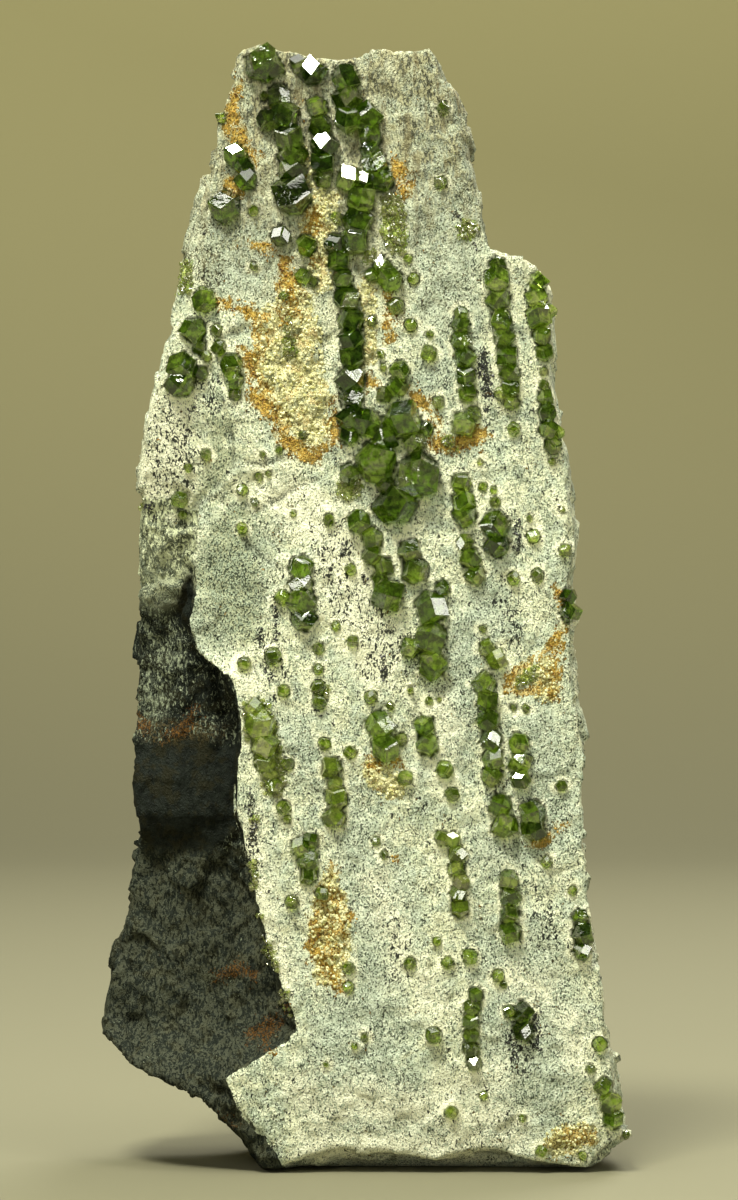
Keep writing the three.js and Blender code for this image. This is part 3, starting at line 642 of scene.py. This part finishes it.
    # The dark flank: near-black with pale flecks, greyer in its topmost part
    deep = mix(ramp(coarse, 0.35, 0.65), (0.004, 0.006, 0.004), (0.014, 0.018, 0.014))
    deep = mix(ramp(lumpy, 0.5, 0.62, 0.0, 0.7), deep, (0.017, 0.016, 0.006))
    greys = add(streaks, times(add(coarse, -0.5), 0.5))
    greyer = mix(ramp(greys, 0.44, 0.56), (0.78, 0.83, 0.56), (0.045, 0.055, 0.035))
    deep = mix(times(mark["scarp"], 0.9), deep, greyer)
    deep = mix(times(mark["brown"], ramp(grain, 0.42, 0.6, 0.0, 0.6)), deep, (0.10, 0.075, 0.03))
    fleck = ramp(add(streaks, mark["flecks"]), 0.48, 0.64)
    deep = mix(times(fleck, 0.9), deep, (0.33, 0.37, 0.26))
    deep = mix(times(ramp(add(fine, mark["flecks"]), 0.5, 0.6), 0.5), deep, (0.12, 0.14, 0.105))
    stained = mix(ramp(fine, 0.44, 0.54), (0.15, 0.065, 0.010), (0.02, 0.012, 0.006))
    deep = mix(times(ramp(broken(mark["rust"], grain, 2.8), 0.6, 0.85), 0.75), deep, stained)
    colour = mix(ramp(broken(mark["flank"], fine, 0.12), 0.45, 0.55), colour, deep)

    shader.set("Base Color", colour)
    rough = ramp(grain, 0.3, 0.7, 0.85, 0.62)
    shader.set("Roughness", shader.math("SUBTRACT", rough, times(mark["gloss"], 0.12)))
    shader.set("Specular IOR Level", 0.12)
    bare = add(1.0, times(mark["seat"], -1.0))
    relief = shader.bump(times(grain, bare), 0.75, 0.85)
    relief = shader.bump(times(fine, bare), 0.45, 0.8, relief)
    shader.set("Normal", relief)
    return shader.material


def garnet_material(name, clearness, density, light, deep):
    """Clear green garnet: each facet has its own tone, partly painted light, with cells of painted
    sparkle brighter or darker and painted glints at the brightest tones.
    """
    shader = Shader(name)
    add, times = shader.add, shader.times
    cloud = shader.noise(2.2, 3, 0.6)
    # Painted sparkle: cells that stand in for light reflected inside the crystal
    painted_sparkle = shader.cells(1.3, "Color", shader.stretched((1.0, 1.0, 0.7)))
    tone = add(times(shader.attribute("facet"), 0.75), times(painted_sparkle, 0.25), times(add(cloud, -0.5), 0.8))
    body = shader.mix(shader.ramp(tone, 0.25, 0.75), deep, light)
    # Painted glints: the brightest tones turn pale lime
    shader.set("Base Color", shader.mix(shader.ramp(tone, 0.63, 0.77), body, (1.0, 1.0, 0.58)))
    shader.set("Roughness", 0.03)
    shader.set("IOR", 1.88)
    shader.set("Specular IOR Level", 0.4)
    shader.set("Transmission Weight", clearness)
    growth = shader.bump(shader.noise(2.6, 2, 0.5), 0.16, 0.6)
    steps = shader.noise(0.9, 2, 0.5, shader.stretched((1.0, 1.0, 2.2)))
    shader.set("Normal", shader.bump(steps, 0.03, 0.6, growth))
    absorb = shader.tree.nodes.new("ShaderNodeVolumeAbsorption")
    absorb.inputs["Color"].default_value = (0.54, 0.70, 0.0, 1)
    absorb.inputs["Density"].default_value = density
    shader.link(absorb.outputs[0], shader.output.inputs["Volume"])
    return shader.material


def crumb_material(name, light, dark, roughness):
    """Loose grains that differ in tone from one to the next."""
    shader = Shader(name)
    tone = shader.noise(0.9, 2, 0.6)
    shader.set("Base Color", shader.mix(shader.ramp(tone, 0.38, 0.62), light, dark))
    shader.set("Roughness", roughness)
    shader.set("Normal", shader.bump(shader.noise(0.3, 2), 0.06, 0.8))
    return shader.material


# The rock

ROCK_VOXEL = 0.8  # millimetres
CRACK_DEPTH = 0.35
ROCK_TRIANGLES = 190000
LONE_FRONT = 20  # depth in front of which the model's lone crystals are looked for
LONE_REACH = 1.45  # how far a lone crystal reaches, in mean radii


def remeshed_rock():
    """The model's rock as an even, closed mesh."""
    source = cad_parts["matrix"]
    holder = bpy.data.objects.new("rock_source", source.data.copy())
    bpy.context.scene.collection.objects.link(holder)
    remesh = holder.modifiers.new("remesh", "REMESH")
    remesh.mode = "VOXEL"
    remesh.voxel_size = ROCK_VOXEL * MM
    mesh = evaluated_mesh(holder)
    bpy.data.objects.remove(holder)
    return mesh


def level_lone_crystals(points, normals):
    """Takes the model's lone crystals off the rock, because glassy ones stand there."""
    front = points[:, 1] < LONE_FRONT
    for x, z, radius in LONE:
        reach = LONE_REACH * radius
        away = np.hypot(points[:, 0] - x, points[:, 2] - z)
        around = front & (away > reach) & (away < reach + 2) & (normals[:, 1] < -0.5)
        if not around.any():
            continue
        level = np.median(points[around, 1])
        inside = front & (away < reach) & (points[:, 1] < level + 2 * radius)
        points[inside, 1] = np.maximum(points[inside, 1], level)


def displaced(points, normals):
    """The broken faces' relief: flat and grainy in front, lumpy at the flank, the sides and the back."""
    facing = smoothstep(0.25, 0.7, -normals[:, 1])
    dark = facing * smoothstep(-0.8, 0.8, border_x(points[:, 2]) - points[:, 0])
    dark *= 1 - smoothstep(FLANK_TOP - 6, FLANK_TOP + 6, points[:, 2])
    light = facing - dark
    other = 1 - facing
    cream = field(points, CREAM, 1.2, 0.8, 21) * light
    lens = lens_of(points)

    face = 0.28 * noise(points, 12, 1) + 0.3 * noise(points, 4.5, 2) + 0.2 * noise(points, 1.9, 3)
    face += 0.2 * noise(points, (3, 3, 22), 4) + facets(points, (13, 30, 17), 0.45, 0.3, 15)
    face += facets(points, (4, 9, 5), 0.3, 0.12, 17)
    grains = 0.6 * ridged(points, 1.7, 5) + 0.7 * noise(points, 3.2, 6)
    broken = facets(points, (9, 20, 12), 2.2, 0.8, 7) + facets(points, (3.5, 8, 4.5), 0.9, 0.35, 23)
    broken += 0.3 * noise(points, 1.6, 9)
    smooth = facets(points, (11, 20, 9), 0.7, 0.15, 10) + 0.3 * noise(points, 5, 11)
    smooth += 0.1 * noise(points, 1.6, 16)
    rough = facets(points, (14, 14, 18), 1.6, 0.5, 12) + facets(points, (5, 5, 6), 0.7, 0.3, 24)
    rough += 0.35 * noise(points, 2.2, 14)
    behind = smoothstep(2, 10, points[:, 1])
    chips = facets(points, (26, 22, 34), 4.0, 1.2, 31) + facets(points, (9, 9, 11), 1.6, 0.5, 41)
    rough += behind * np.minimum(chips - 0.4, 0.2)

    shift = light * (face + cream * grains) + other * rough
    shift += dark * (broken * (1 - lens) + smooth * lens)
    foot = smoothstep(0.2, 4, points[:, 2])
    return points + normals * (shift * foot)[:, None], facing, light


def crack_of(points, low, high):
    """1 along the cracks and small ledges, falling to 0 between two distances from them."""
    nearest = np.full(len(points), np.inf)
    for line in CRACKS:
        chain = tuple((x, z, 0) for x, z in line)
        nearest = np.minimum(nearest, chain_distance(points, chain))
    return 1 - smoothstep(low, high, nearest + 0.5 * noise(points, 3, 30) + 0.4 * noise(points, 1.2, 31))


def rock_piece():
    mesh = remeshed_rock()
    points, normals = points_of(mesh), normals_of(mesh)
    level_lone_crystals(points, normals)
    set_points(mesh, points)
    normals = normals_of(mesh)
    points, facing, light = displaced(points, normals)
    points[:, 1] += CRACK_DEPTH * light * crack_of(points, 0.1, 1.1)
    points[:, 2] = np.maximum(points[:, 2], 0)
    set_points(mesh, points)

    holder = bpy.data.objects.new("rock_fine", mesh)
    bpy.context.scene.collection.objects.link(holder)
    group = holder.vertex_groups.new(name="coarse")
    hidden = np.nonzero(facing < 0.3)[0]
    group.add(hidden.tolist(), 1.0, "REPLACE")
    triangles = sum(len(p.vertices) - 2 for p in mesh.polygons)
    if triangles > ROCK_TRIANGLES:
        fewer = holder.modifiers.new("fewer", "DECIMATE")
        fewer.ratio = ROCK_TRIANGLES / triangles
        fewer.vertex_group = "coarse"
        fewer.vertex_group_factor = 1
    fine = evaluated_mesh(holder)
    bpy.data.objects.remove(holder)
    fine.name = "rock"
    paint_rock(fine)
    for polygon in fine.polygons:
        polygon.use_smooth = True
    piece = new_object("rock", fine, rock_material())
    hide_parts("matrix")
    return piece


# Fields of the light face with a soft edge: name, chains, width of the edge, unevenness, seed
SOFT_FIELDS = (
    ("white", WHITE, 5, 2, 43),
    ("grey", GREY, 5, 2, 45),
    ("dull", DULL, 4, 3, 47),
    ("dashes", DASHES, 3, 2, 49),
)
# Crusts of the light face, whose edge the material breaks up: name, chains, unevenness, seed
CRUSTS = (
    ("cream", CREAM, 1.4, 51),
    ("black", BLACK, 0.8, 55),
    ("olive", OLIVE, 0.8, 57),
)


def paint_rock(mesh):
    """Writes the share of each mineral and stain to the rock's points."""
    points, normals = points_of(mesh), normals_of(mesh)
    facing = smoothstep(0.0, 0.4, -normals[:, 1])
    height = points[:, 2]
    lip = 1.6 * smoothstep(0.2, 0.7, -normals[:, 0])
    border = border_x(height) + lip + 0.5 * noise(points, 2.6, 40) + 0.3 * noise(points, 1.1, 44)
    beside = 0.5 + (border - points[:, 0]) / 4
    below = 0.5 - (height - FLANK_TOP + 5 * noise(points, 5, 41)) / 12
    ahead = 0.5 + (43 + 5 * noise(points, 14, 46) + 2 * noise(points, 3, 48) - points[:, 1]) / 4
    flank = np.clip(np.minimum(np.minimum(beside, below), ahead), 0, 1) * (normals[:, 1] < 0.6)
    light = facing * (1 - smoothstep(0.4, 0.6, flank))
    lens = lens_of(points)
    scarp = smoothstep(143, 160, height + 5 * noise(points, 6, 42))
    bright = field(points, FLECKED, 3, 2, 76)
    triangle = field(points, DARK_TRIANGLE, 1, 0.8, 59)
    low = 1 - smoothstep(80, 86, height)
    flecks = -0.09 + 0.09 * bright + 0.04 * scarp + 0.06 * noise(points, 7, 74)
    flecks = flecks + 0.03 * noise(points, 3, 75)
    add_attribute(mesh, "flank", flank)
    add_attribute(mesh, "gloss", flank * lens)
    add_attribute(mesh, "brown", field(points, BROWN_BAND, 2, 1.5, 77))
    add_attribute(mesh, "flecks", flecks - 0.25 * lens - 0.2 * triangle - 0.11 * low)
    add_attribute(mesh, "scarp", np.maximum(scarp * (1 - triangle), 0.08 * low))
    add_attribute(mesh, "halo", light * halo_of(points))
    # Painted glow and painted shade on the rock under the crystals
    seat, glow = seat_of(points)
    add_attribute(mesh, "seat", seat * smoothstep(0.15, 0.45, -normals[:, 1]))
    add_attribute(mesh, "glow", glow)
    # Painted shade along the cracks and small ledges
    add_attribute(mesh, "crack_shade", light * crack_of(points, 0.1, 0.9))
    add_attribute(mesh, "dusky", smoothstep(210, 270, height + 8 * noise(points, 14, 61)))
    for name, chains, edge, broken, seed in SOFT_FIELDS:
        add_attribute(mesh, name, light * field(points, chains, edge, broken, seed))
    for name, chains, broken, seed in CRUSTS:
        add_attribute(mesh, name, light * depth_in(points, chains, broken, seed))
    add_attribute(mesh, "rust", facing * depth_in(points, RUST + FLANK_RUST, 1.7, 53))
    add_attribute(mesh, "ochre", 0.86 * light * depth_in(points, OCHRE, 1.4, 78))
    add_attribute(mesh, "weathered", (1 - facing) * (1 - smoothstep(0.4, 0.6, flank)))


def crystal_tree():
    """The model's crystals as one tree for rays, in the lists' own frame."""
    corners, faces = [], []
    for name in sorted(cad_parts):
        if name == "matrix":
            continue
        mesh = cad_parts[name].data
        base = len(corners)
        corners.extend(tuple(corner) for corner in points_of(mesh))
        faces.extend(tuple(base + index for index in polygon.vertices) for polygon in mesh.polygons)
    return BVHTree.FromPolygons(corners, faces)


def crystal_depth(tree, x, z):
    """Depth of the front of the model's crystals at a place, or None beside them."""
    place = tree.ray_cast(Vector((x, RAY_START, z)), Vector((0, 1, 0)))[0]
    return None if place is None else place.y


def seat_of(points):
    """1 on the rock under the crystals, and how bright the painted glow there is: most where they are
    thick.
    """
    tree = crystal_tree()
    seat, glow = np.zeros(len(points)), np.zeros(len(points))
    for index in np.nonzero(points[:, 1] < FRONT_LIMIT)[0]:
        x, depth, z = points[index]
        front = crystal_depth(tree, x, z)
        if front is not None:
            seat[index] = 1
            glow[index] = smoothstep(0.6, 3.2, depth - front)
    for x, z, radius in LONE + MINOR:
        away = np.hypot(points[:, 0] - x, points[:, 2] - z) / radius + 9 * (points[:, 1] > FRONT_LIMIT)
        seat[away < 0.95] = 1
        glow = np.maximum(glow, 1 - smoothstep(0.3, 1, away))
    return seat, glow


HALO_REACH = 1.6  # width of the pale rim round each crystal, in millimetres: partly the rock's pale crust, partly painted light


def halo_of(points):
    """1 beside the crystals of the model and the small ones, falling to 0 away from them."""
    away = np.full(len(points), np.inf)
    for x, z, radius in LONE + MINOR:
        away = np.minimum(away, np.hypot(points[:, 0] - x, points[:, 2] - z) - radius)
    corners = []
    for name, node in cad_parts.items():
        if name != "matrix":
            corners.append(points_of(node.data))
    corners = np.concatenate(corners)
    tree = KDTree(len(corners))
    for index, corner in enumerate(corners):
        tree.insert((corner[0], 0, corner[2]), index)
    tree.balance()
    near = np.nonzero((points[:, 1] < FRONT_LIMIT) & (away > 0))[0]
    for index in near:
        reach = tree.find((points[index, 0], 0, points[index, 2]))[2]
        away[index] = min(away[index], reach)
    away = away + 0.9 * noise(points, 2.2, 63)
    return 1 - smoothstep(0.2, HALO_REACH, away)


# The crystals of the model

SEAT_SINK = 1.8  # how far a crystal reaches on behind its seat, in millimetres
EDGE_CUT = 0.3  # width of the narrow faces along the crystals' edges, in millimetres
SHORTEST_CUT = 1.2  # edges under this length stay sharp
# Groups of a darker, a deeper and a paler green than the rest
DARK_NODES = (
    "top_left_crystal", "top_middle_pair", "left_upper_crystal", "shoulder_crystal", "upper_left_row",
)
DEEP_NODES = (
    "upper_middle_row", "main_column", "left_upper_trio", "left_group_big", "left_row", "right_big_pair",
    "right_edge_dark_pair", "right_edge_low_row", "right_low_pair", "foot_dark_pair",
)
PALE_NODES = ("left_pale_row", "low_left_row", "right_small_pair", "foot_middle_row")


def cut_form(node, kept):
    """A model's crystals grown on into the rock, with narrow faces along all edges but those kept."""
    bm = bmesh.new()
    bm.from_mesh(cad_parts[node].data)
    bmesh.ops.remove_doubles(bm, verts=bm.verts, dist=0.03 * MM)
    bmesh.ops.dissolve_limit(bm, angle_limit=math.radians(1.5), verts=bm.verts, edges=bm.edges)
    behind = [face for face in bm.faces if face.normal.y > 0.9]
    seat = max(behind, key=lambda face: face.calc_area())
    level, normal = seat.calc_center_median(), seat.normal.copy()
    for vert in bm.verts:
        if abs((vert.co - level).dot(normal)) < 0.02 * MM:
            vert.co += normal * (SEAT_SINK * MM)
    edges = []
    for edge in bm.edges:
        around = [other for vert in edge.verts for other in vert.link_edges]
        if not edge.is_manifold or not edge.is_convex or edge.calc_length() < SHORTEST_CUT * MM:
            continue
        if edge.calc_face_angle() < math.radians(20):
            continue
        if min(other.calc_length() for other in around) < 1.8 * EDGE_CUT * MM:
            continue
        if all((vert.co - place).length > MM for vert in edge.verts for place in kept):
            edges.append(edge)
    bmesh.ops.bevel(bm, geom=edges, offset=EDGE_CUT * MM, segments=1, affect="EDGES", clamp_overlap=False)
    bmesh.ops.dissolve_degenerate(bm, dist=0.02 * MM, edges=bm.edges)
    bm.normal_update()
    return bm


def folded_places(bm):
    """Corners of the faces that the cuts have pulled out of their plane."""
    places = []
    for face in bm.faces:
        middle = face.calc_center_median()
        rise = max(abs((vert.co - middle).dot(face.normal)) for vert in face.verts)
        if rise > 0.1 * MM and face.calc_area() > 0.4 * MM * MM:
            places.extend(vert.co.copy() for vert in face.verts)
    return places


def crystal_piece(node, material, draws):
    """A model's crystals as glassy garnet; edges whose cuts would fold a facet stay sharp."""
    kept = []
    for _ in range(4):
        bm = cut_form(node, kept)
        folded = folded_places(bm)
        if not folded:
            break
        kept.extend(folded)
    cut_mesh = bpy.data.meshes.new(node + "_garnet")
    bm.to_mesh(cut_mesh)
    bm.free()
    # Facet tones, partly painted light, with painted highlights on the narrow edge faces
    add_facet_tones(cut_mesh, draws)
    piece = new_object(node + "_garnet", cut_mesh, material)
    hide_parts(node)
    return piece


# Small crystals and grains on the rock

SMALL_CUT = 0.13  # width of the faces along a small crystal's edges, as a share of its mean radius
PROUD = 0.16  # how far a small crystal's centre stands out of the rock, as a share of its radius
TRIES = 30  # tries for each place that is wanted on a field
TINY_COUNT = 520
TINY_RADII = (0.35, 0.85)
GRAIN_JITTER = 0.28  # unevenness of a grain, as a share of its size

def garnet_form():
    """Corners and faces of a rhombic dodecahedron with a mean radius of one."""
    half = CORNER_SHARE / 2
    corners = [(x, y, z) for x in (-1, 1) for y in (-1, 1) for z in (-1, 1)]
    tips = [(2, 0, 0), (-2, 0, 0), (0, 2, 0), (0, -2, 0), (0, 0, 2), (0, 0, -2)]
    bm = bmesh.new()
    for point in corners + tips:
        bm.verts.new(Vector(point) * half)
    bmesh.ops.convex_hull(bm, input=bm.verts)
    bmesh.ops.dissolve_limit(bm, angle_limit=math.radians(1), verts=bm.verts, edges=bm.edges)
    bmesh.ops.bevel(bm, geom=bm.edges[:], offset=SMALL_CUT, segments=1, affect="EDGES")
    bmesh.ops.recalc_face_normals(bm, faces=bm.faces)
    bm.verts.index_update()
    points = np.array([vert.co for vert in bm.verts])
    faces = [tuple(vert.index for vert in face.verts) for face in bm.faces]
    bm.free()
    return points, faces


def grain_form():
    """Corners and faces of a rounded lump."""
    bm = bmesh.new()
    bmesh.ops.create_icosphere(bm, subdivisions=1, radius=1)
    points = np.array([vert.co for vert in bm.verts])
    faces = [tuple(vert.index for vert in face.verts) for face in bm.faces]
    bm.free()
    return points, faces


def scattered(name, form, places, draws, jitter=0.0):
    """One mesh of many copies of a form, each at a place (x, depth, z, size) and turned its own way."""
    points, faces = form
    all_points, all_faces = [], []
    for x, depth, z, size in places:
        turn = np.array(Euler(draws.uniform(0, math.pi, 3)).to_matrix())
        scale = size * draws.uniform(0.88, 1.12, 3)
        shape = points * scale
        if jitter:
            shape = shape + size * jitter * draws.uniform(-1, 1, shape.shape)
        shape = shape @ turn.T + (x, depth, z)
        base = len(all_points) * len(points)
        all_points.append(shape)
        all_faces.extend(tuple(base + index for index in face) for face in faces)
    mesh = bpy.data.meshes.new(name)
    placed = (np.concatenate(all_points) + (0, FACE_PLANE, 0)) * MM
    mesh.from_pydata(placed.tolist(), [], all_faces)
    mesh.update()
    return mesh


class Ground:
    """The finished rock, for setting things down on it."""

    def __init__(self, rock):
        self.crystals = crystal_tree()
        mesh = rock.data
        self.tree = BVHTree.FromPolygons(
            [tuple(point) for point in points_of(mesh)], [tuple(p.vertices) for p in mesh.polygons]
        )

    def depth(self, x, z):
        """Depth of the rock's front at a place, or None beside the rock."""
        place = self.tree.ray_cast(Vector((x, RAY_START, z)), Vector((0, 1, 0)))[0]
        return None if place is None or place.y > FARTHEST_FRONT else place.y

    def spread(self, chains, count, draws):
        """Random places on the front of the rock inside the chains of discs: x, depth, z."""
        found = []
        boxes = []
        for chain in chains:
            array = np.array(chain, float)
            low = (array[:, :2] - array[:, 2:]).min(0)
            high = (array[:, :2] + array[:, 2:]).max(0)
            boxes.append((low, high, float(np.prod(high - low))))
        areas = np.array([box[2] for box in boxes])
        tries = 0
        while len(found) < count and tries < TRIES * count:
            tries += 1
            pick = int(draws.choice(len(boxes), p=areas / areas.sum()))
            x, z = draws.uniform(boxes[pick][0], boxes[pick][1])
            if chain_distance(np.array([[x, 0, z]]), chains[pick])[0] > draws.uniform(-0.5, 0.9):
                continue
            depth = self.depth(x, z)
            if depth is not None and crystal_depth(self.crystals, x, z) is None:
                found.append((x, depth, z))
        return found


def set_down(ground, crystals):
    """Places for crystals with their centres a little in front of the rock."""
    places = []
    for x, z, radius in crystals:
        depth = ground.depth(x, z)
        if depth is None:
            depth = ground.depth(x - 1.5 * radius, z) or 0.0
        places.append((x, depth - PROUD * radius, z, radius))
    return places


def small_crystals(ground, material, pale_material, draws):
    form = garnet_form()
    mesh = scattered("small_crystals", form, set_down(ground, LONE + MINOR), draws)
    add_facet_tones(mesh, draws)
    new_object("small_crystals", mesh, material)
    found = ground.spread(OLIVE, TINY_COUNT, draws)
    tiny = [(x, depth - 0.1, z, draws.uniform(*TINY_RADII)) for x, depth, z in found]
    mesh = scattered("tiny_crystals", form, tiny, draws)
    add_facet_tones(mesh, draws)
    new_object("tiny_crystals", mesh, pale_material)


def grains(ground, draws):
    """Loose grains that stand on the fields of cream, rust and black."""
    kinds = (
        ("cream_grains", CREAM, 1100, (0.25, 0.6), "pale_grain",
         crumb_material("cream_grain", (0.90, 0.87, 0.55), (0.42, 0.40, 0.14), 0.7)),
        ("rust_grains", RUST, 700, (0.18, 0.38), "rust",
         crumb_material("rust_grain", (0.60, 0.38, 0.07), (0.12, 0.05, 0.006), 0.8)),
        ("black_grains", BLACK, 260, (0.2, 0.45), "black_grain",
         crumb_material("black_grain", (0.03, 0.03, 0.03), (0.012, 0.013, 0.012), 0.35)),
    )
    for name, chains, count, sizes, slot, material in kinds:
        found = ground.spread(chains, count, draws)
        places = [(x, depth, z, draws.uniform(*sizes)) for x, depth, z in found]
        mesh = scattered(name, grain_form(), places, draws, GRAIN_JITTER)
        new_object(name, mesh, material)


# Studio

CAMERA_X = 1.2
CAMERA_Z = 149.5
CAMERA_DISTANCE = 1100.0  # from the crystal face
VIEW_HEIGHT = 312.0  # what the picture takes in at the crystal face, in millimetres


def make_camera():
    data = bpy.data.cameras.new("camera")
    data.sensor_width = 36
    data.lens = data.sensor_width * CAMERA_DISTANCE / VIEW_HEIGHT
    camera = bpy.data.objects.new("camera", data)
    camera.location = (CAMERA_X * MM, (FACE_PLANE - CAMERA_DISTANCE) * MM, CAMERA_Z * MM)
    camera.rotation_euler = (math.pi / 2, 0, 0)
    bpy.context.scene.collection.objects.link(camera)
    bpy.context.scene.camera = camera


SWEEP_REACH = 3.0  # the sweep's sizes are in metres
SWEEP_HEIGHT = 2.6
BEND_START = 1.3
BEND_RADIUS = 0.9
BEND_STEPS = 16


def make_sweep():
    """A pale floor that curves up into a backdrop, which is far enough off to see every side."""
    profile = [(-SWEEP_REACH, 0.0), (BEND_START, 0.0)]
    for step in range(1, BEND_STEPS + 1):
        turn = math.pi / 2 * step / BEND_STEPS
        profile.append((BEND_START + BEND_RADIUS * math.sin(turn), BEND_RADIUS * (1 - math.cos(turn))))
    profile.append((BEND_START + BEND_RADIUS, SWEEP_HEIGHT))
    verts = [(side * SWEEP_REACH, y, z) for side in (-1, 1) for y, z in profile]
    count = len(profile)
    faces = [(i, i + count, i + count + 1, i + 1) for i in range(count - 1)]
    mesh = bpy.data.meshes.new("studio_sweep")
    mesh.from_pydata(verts, [], faces)
    for polygon in mesh.polygons:
        polygon.use_smooth = True
    sweep = bpy.data.objects.new("studio_sweep", mesh)
    bpy.context.scene.collection.objects.link(sweep)
    add_attribute(mesh, "wall", [min(1.0, z / BEND_RADIUS) for x, y, z in verts])
    shader = Shader("studio")
    shader.set("Base Color", shader.mix(shader.attribute("wall"), (0.17, 0.16, 0.10), (0.66, 0.60, 0.30)))
    shader.set("Roughness", 0.9)
    mesh.materials.append(shader.material)


def area_light(name, place, aim, size, power, colour):
    data = bpy.data.lights.new(name, "AREA")
    data.shape = "RECTANGLE"
    data.size, data.size_y = size
    data.energy = power
    data.color = colour
    lamp = bpy.data.objects.new(name, data)
    lamp.location = place
    lamp.rotation_euler = (Vector(aim) - Vector(place)).to_track_quat("-Z", "Y").to_euler()
    bpy.context.scene.collection.objects.link(lamp)


# Compact lamps round the front: place in metres, width and power
LAMPS = (
    ((0.4, -0.45, 1.65), 0.3, 2.8),
    ((-0.95, -0.75, 1.0), 0.3, 2.8),
    ((0.85, -0.85, 0.95), 0.3, 2.6),
    ((-0.5, -1.2, 0.75), 0.24, 1.8),
    ((0.55, -1.3, 0.1), 0.22, 1.4),
    ((-1.2, -0.6, 0.05), 0.24, 1.4),
    ((1.25, -0.35, 0.3), 0.26, 1.6),
)


def make_lights():
    """A key from above, compact lamps that the facets mirror, a ceiling panel and a light behind."""
    aim = (0, -0.03, 0.14)
    area_light("key", (-0.35, -0.8, 1.55), aim, (0.42, 0.32), 36, (1.0, 1.0, 0.83))
    for index, (place, width, power) in enumerate(LAMPS):
        area_light("lamp_%d" % index, place, aim, (width, width), power, (1.0, 1.0, 0.86))
    area_light("ceiling", (0.0, -0.15, 1.7), (0, -0.15, 0), (1.8, 1.5), 30, (1.0, 1.0, 0.86))
    area_light("back", (0.5, 1.0, 1.3), aim, (0.8, 0.5), 20, (1.0, 0.99, 0.92))
    world = bpy.data.worlds.new("studio")
    world.use_nodes = True
    background = world.node_tree.nodes["Background"]
    background.inputs["Color"].default_value = (0.98, 1.0, 0.5, 1)
    background.inputs["Strength"].default_value = 0.06
    bpy.context.scene.world = world
    bpy.context.scene.view_settings.view_transform = "Standard"


def build():
    make_camera()
    make_sweep()
    make_lights()
    draws = np.random.default_rng(SEED)
    rock = rock_piece()
    dark = garnet_material("dark_garnet", 0.94, 210, (0.42, 0.60, 0.10), (0.03, 0.065, 0.004))
    green = garnet_material("garnet", 0.94, 165, (0.62, 0.92, 0.13), (0.04, 0.10, 0.004))
    leaf = garnet_material("leaf_garnet", 0.92, 105, (0.75, 1.0, 0.20), (0.14, 0.27, 0.014))
    lime = garnet_material("small_garnet", 0.92, 100, (0.76, 1.0, 0.19), (0.24, 0.39, 0.03))
    pale = garnet_material("pale_garnet", 0.86, 75, (0.90, 1.0, 0.28), (0.32, 0.48, 0.05))
    for node in sorted(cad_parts):
        if node == "matrix":
            continue
        shade = dark if node in DARK_NODES else green if node in DEEP_NODES else leaf
        shade = pale if node in PALE_NODES else shade
        crystal_piece(node, shade, draws)
    ground = Ground(rock)
    small_crystals(ground, lime, pale, draws)
    grains(ground, draws)


build()
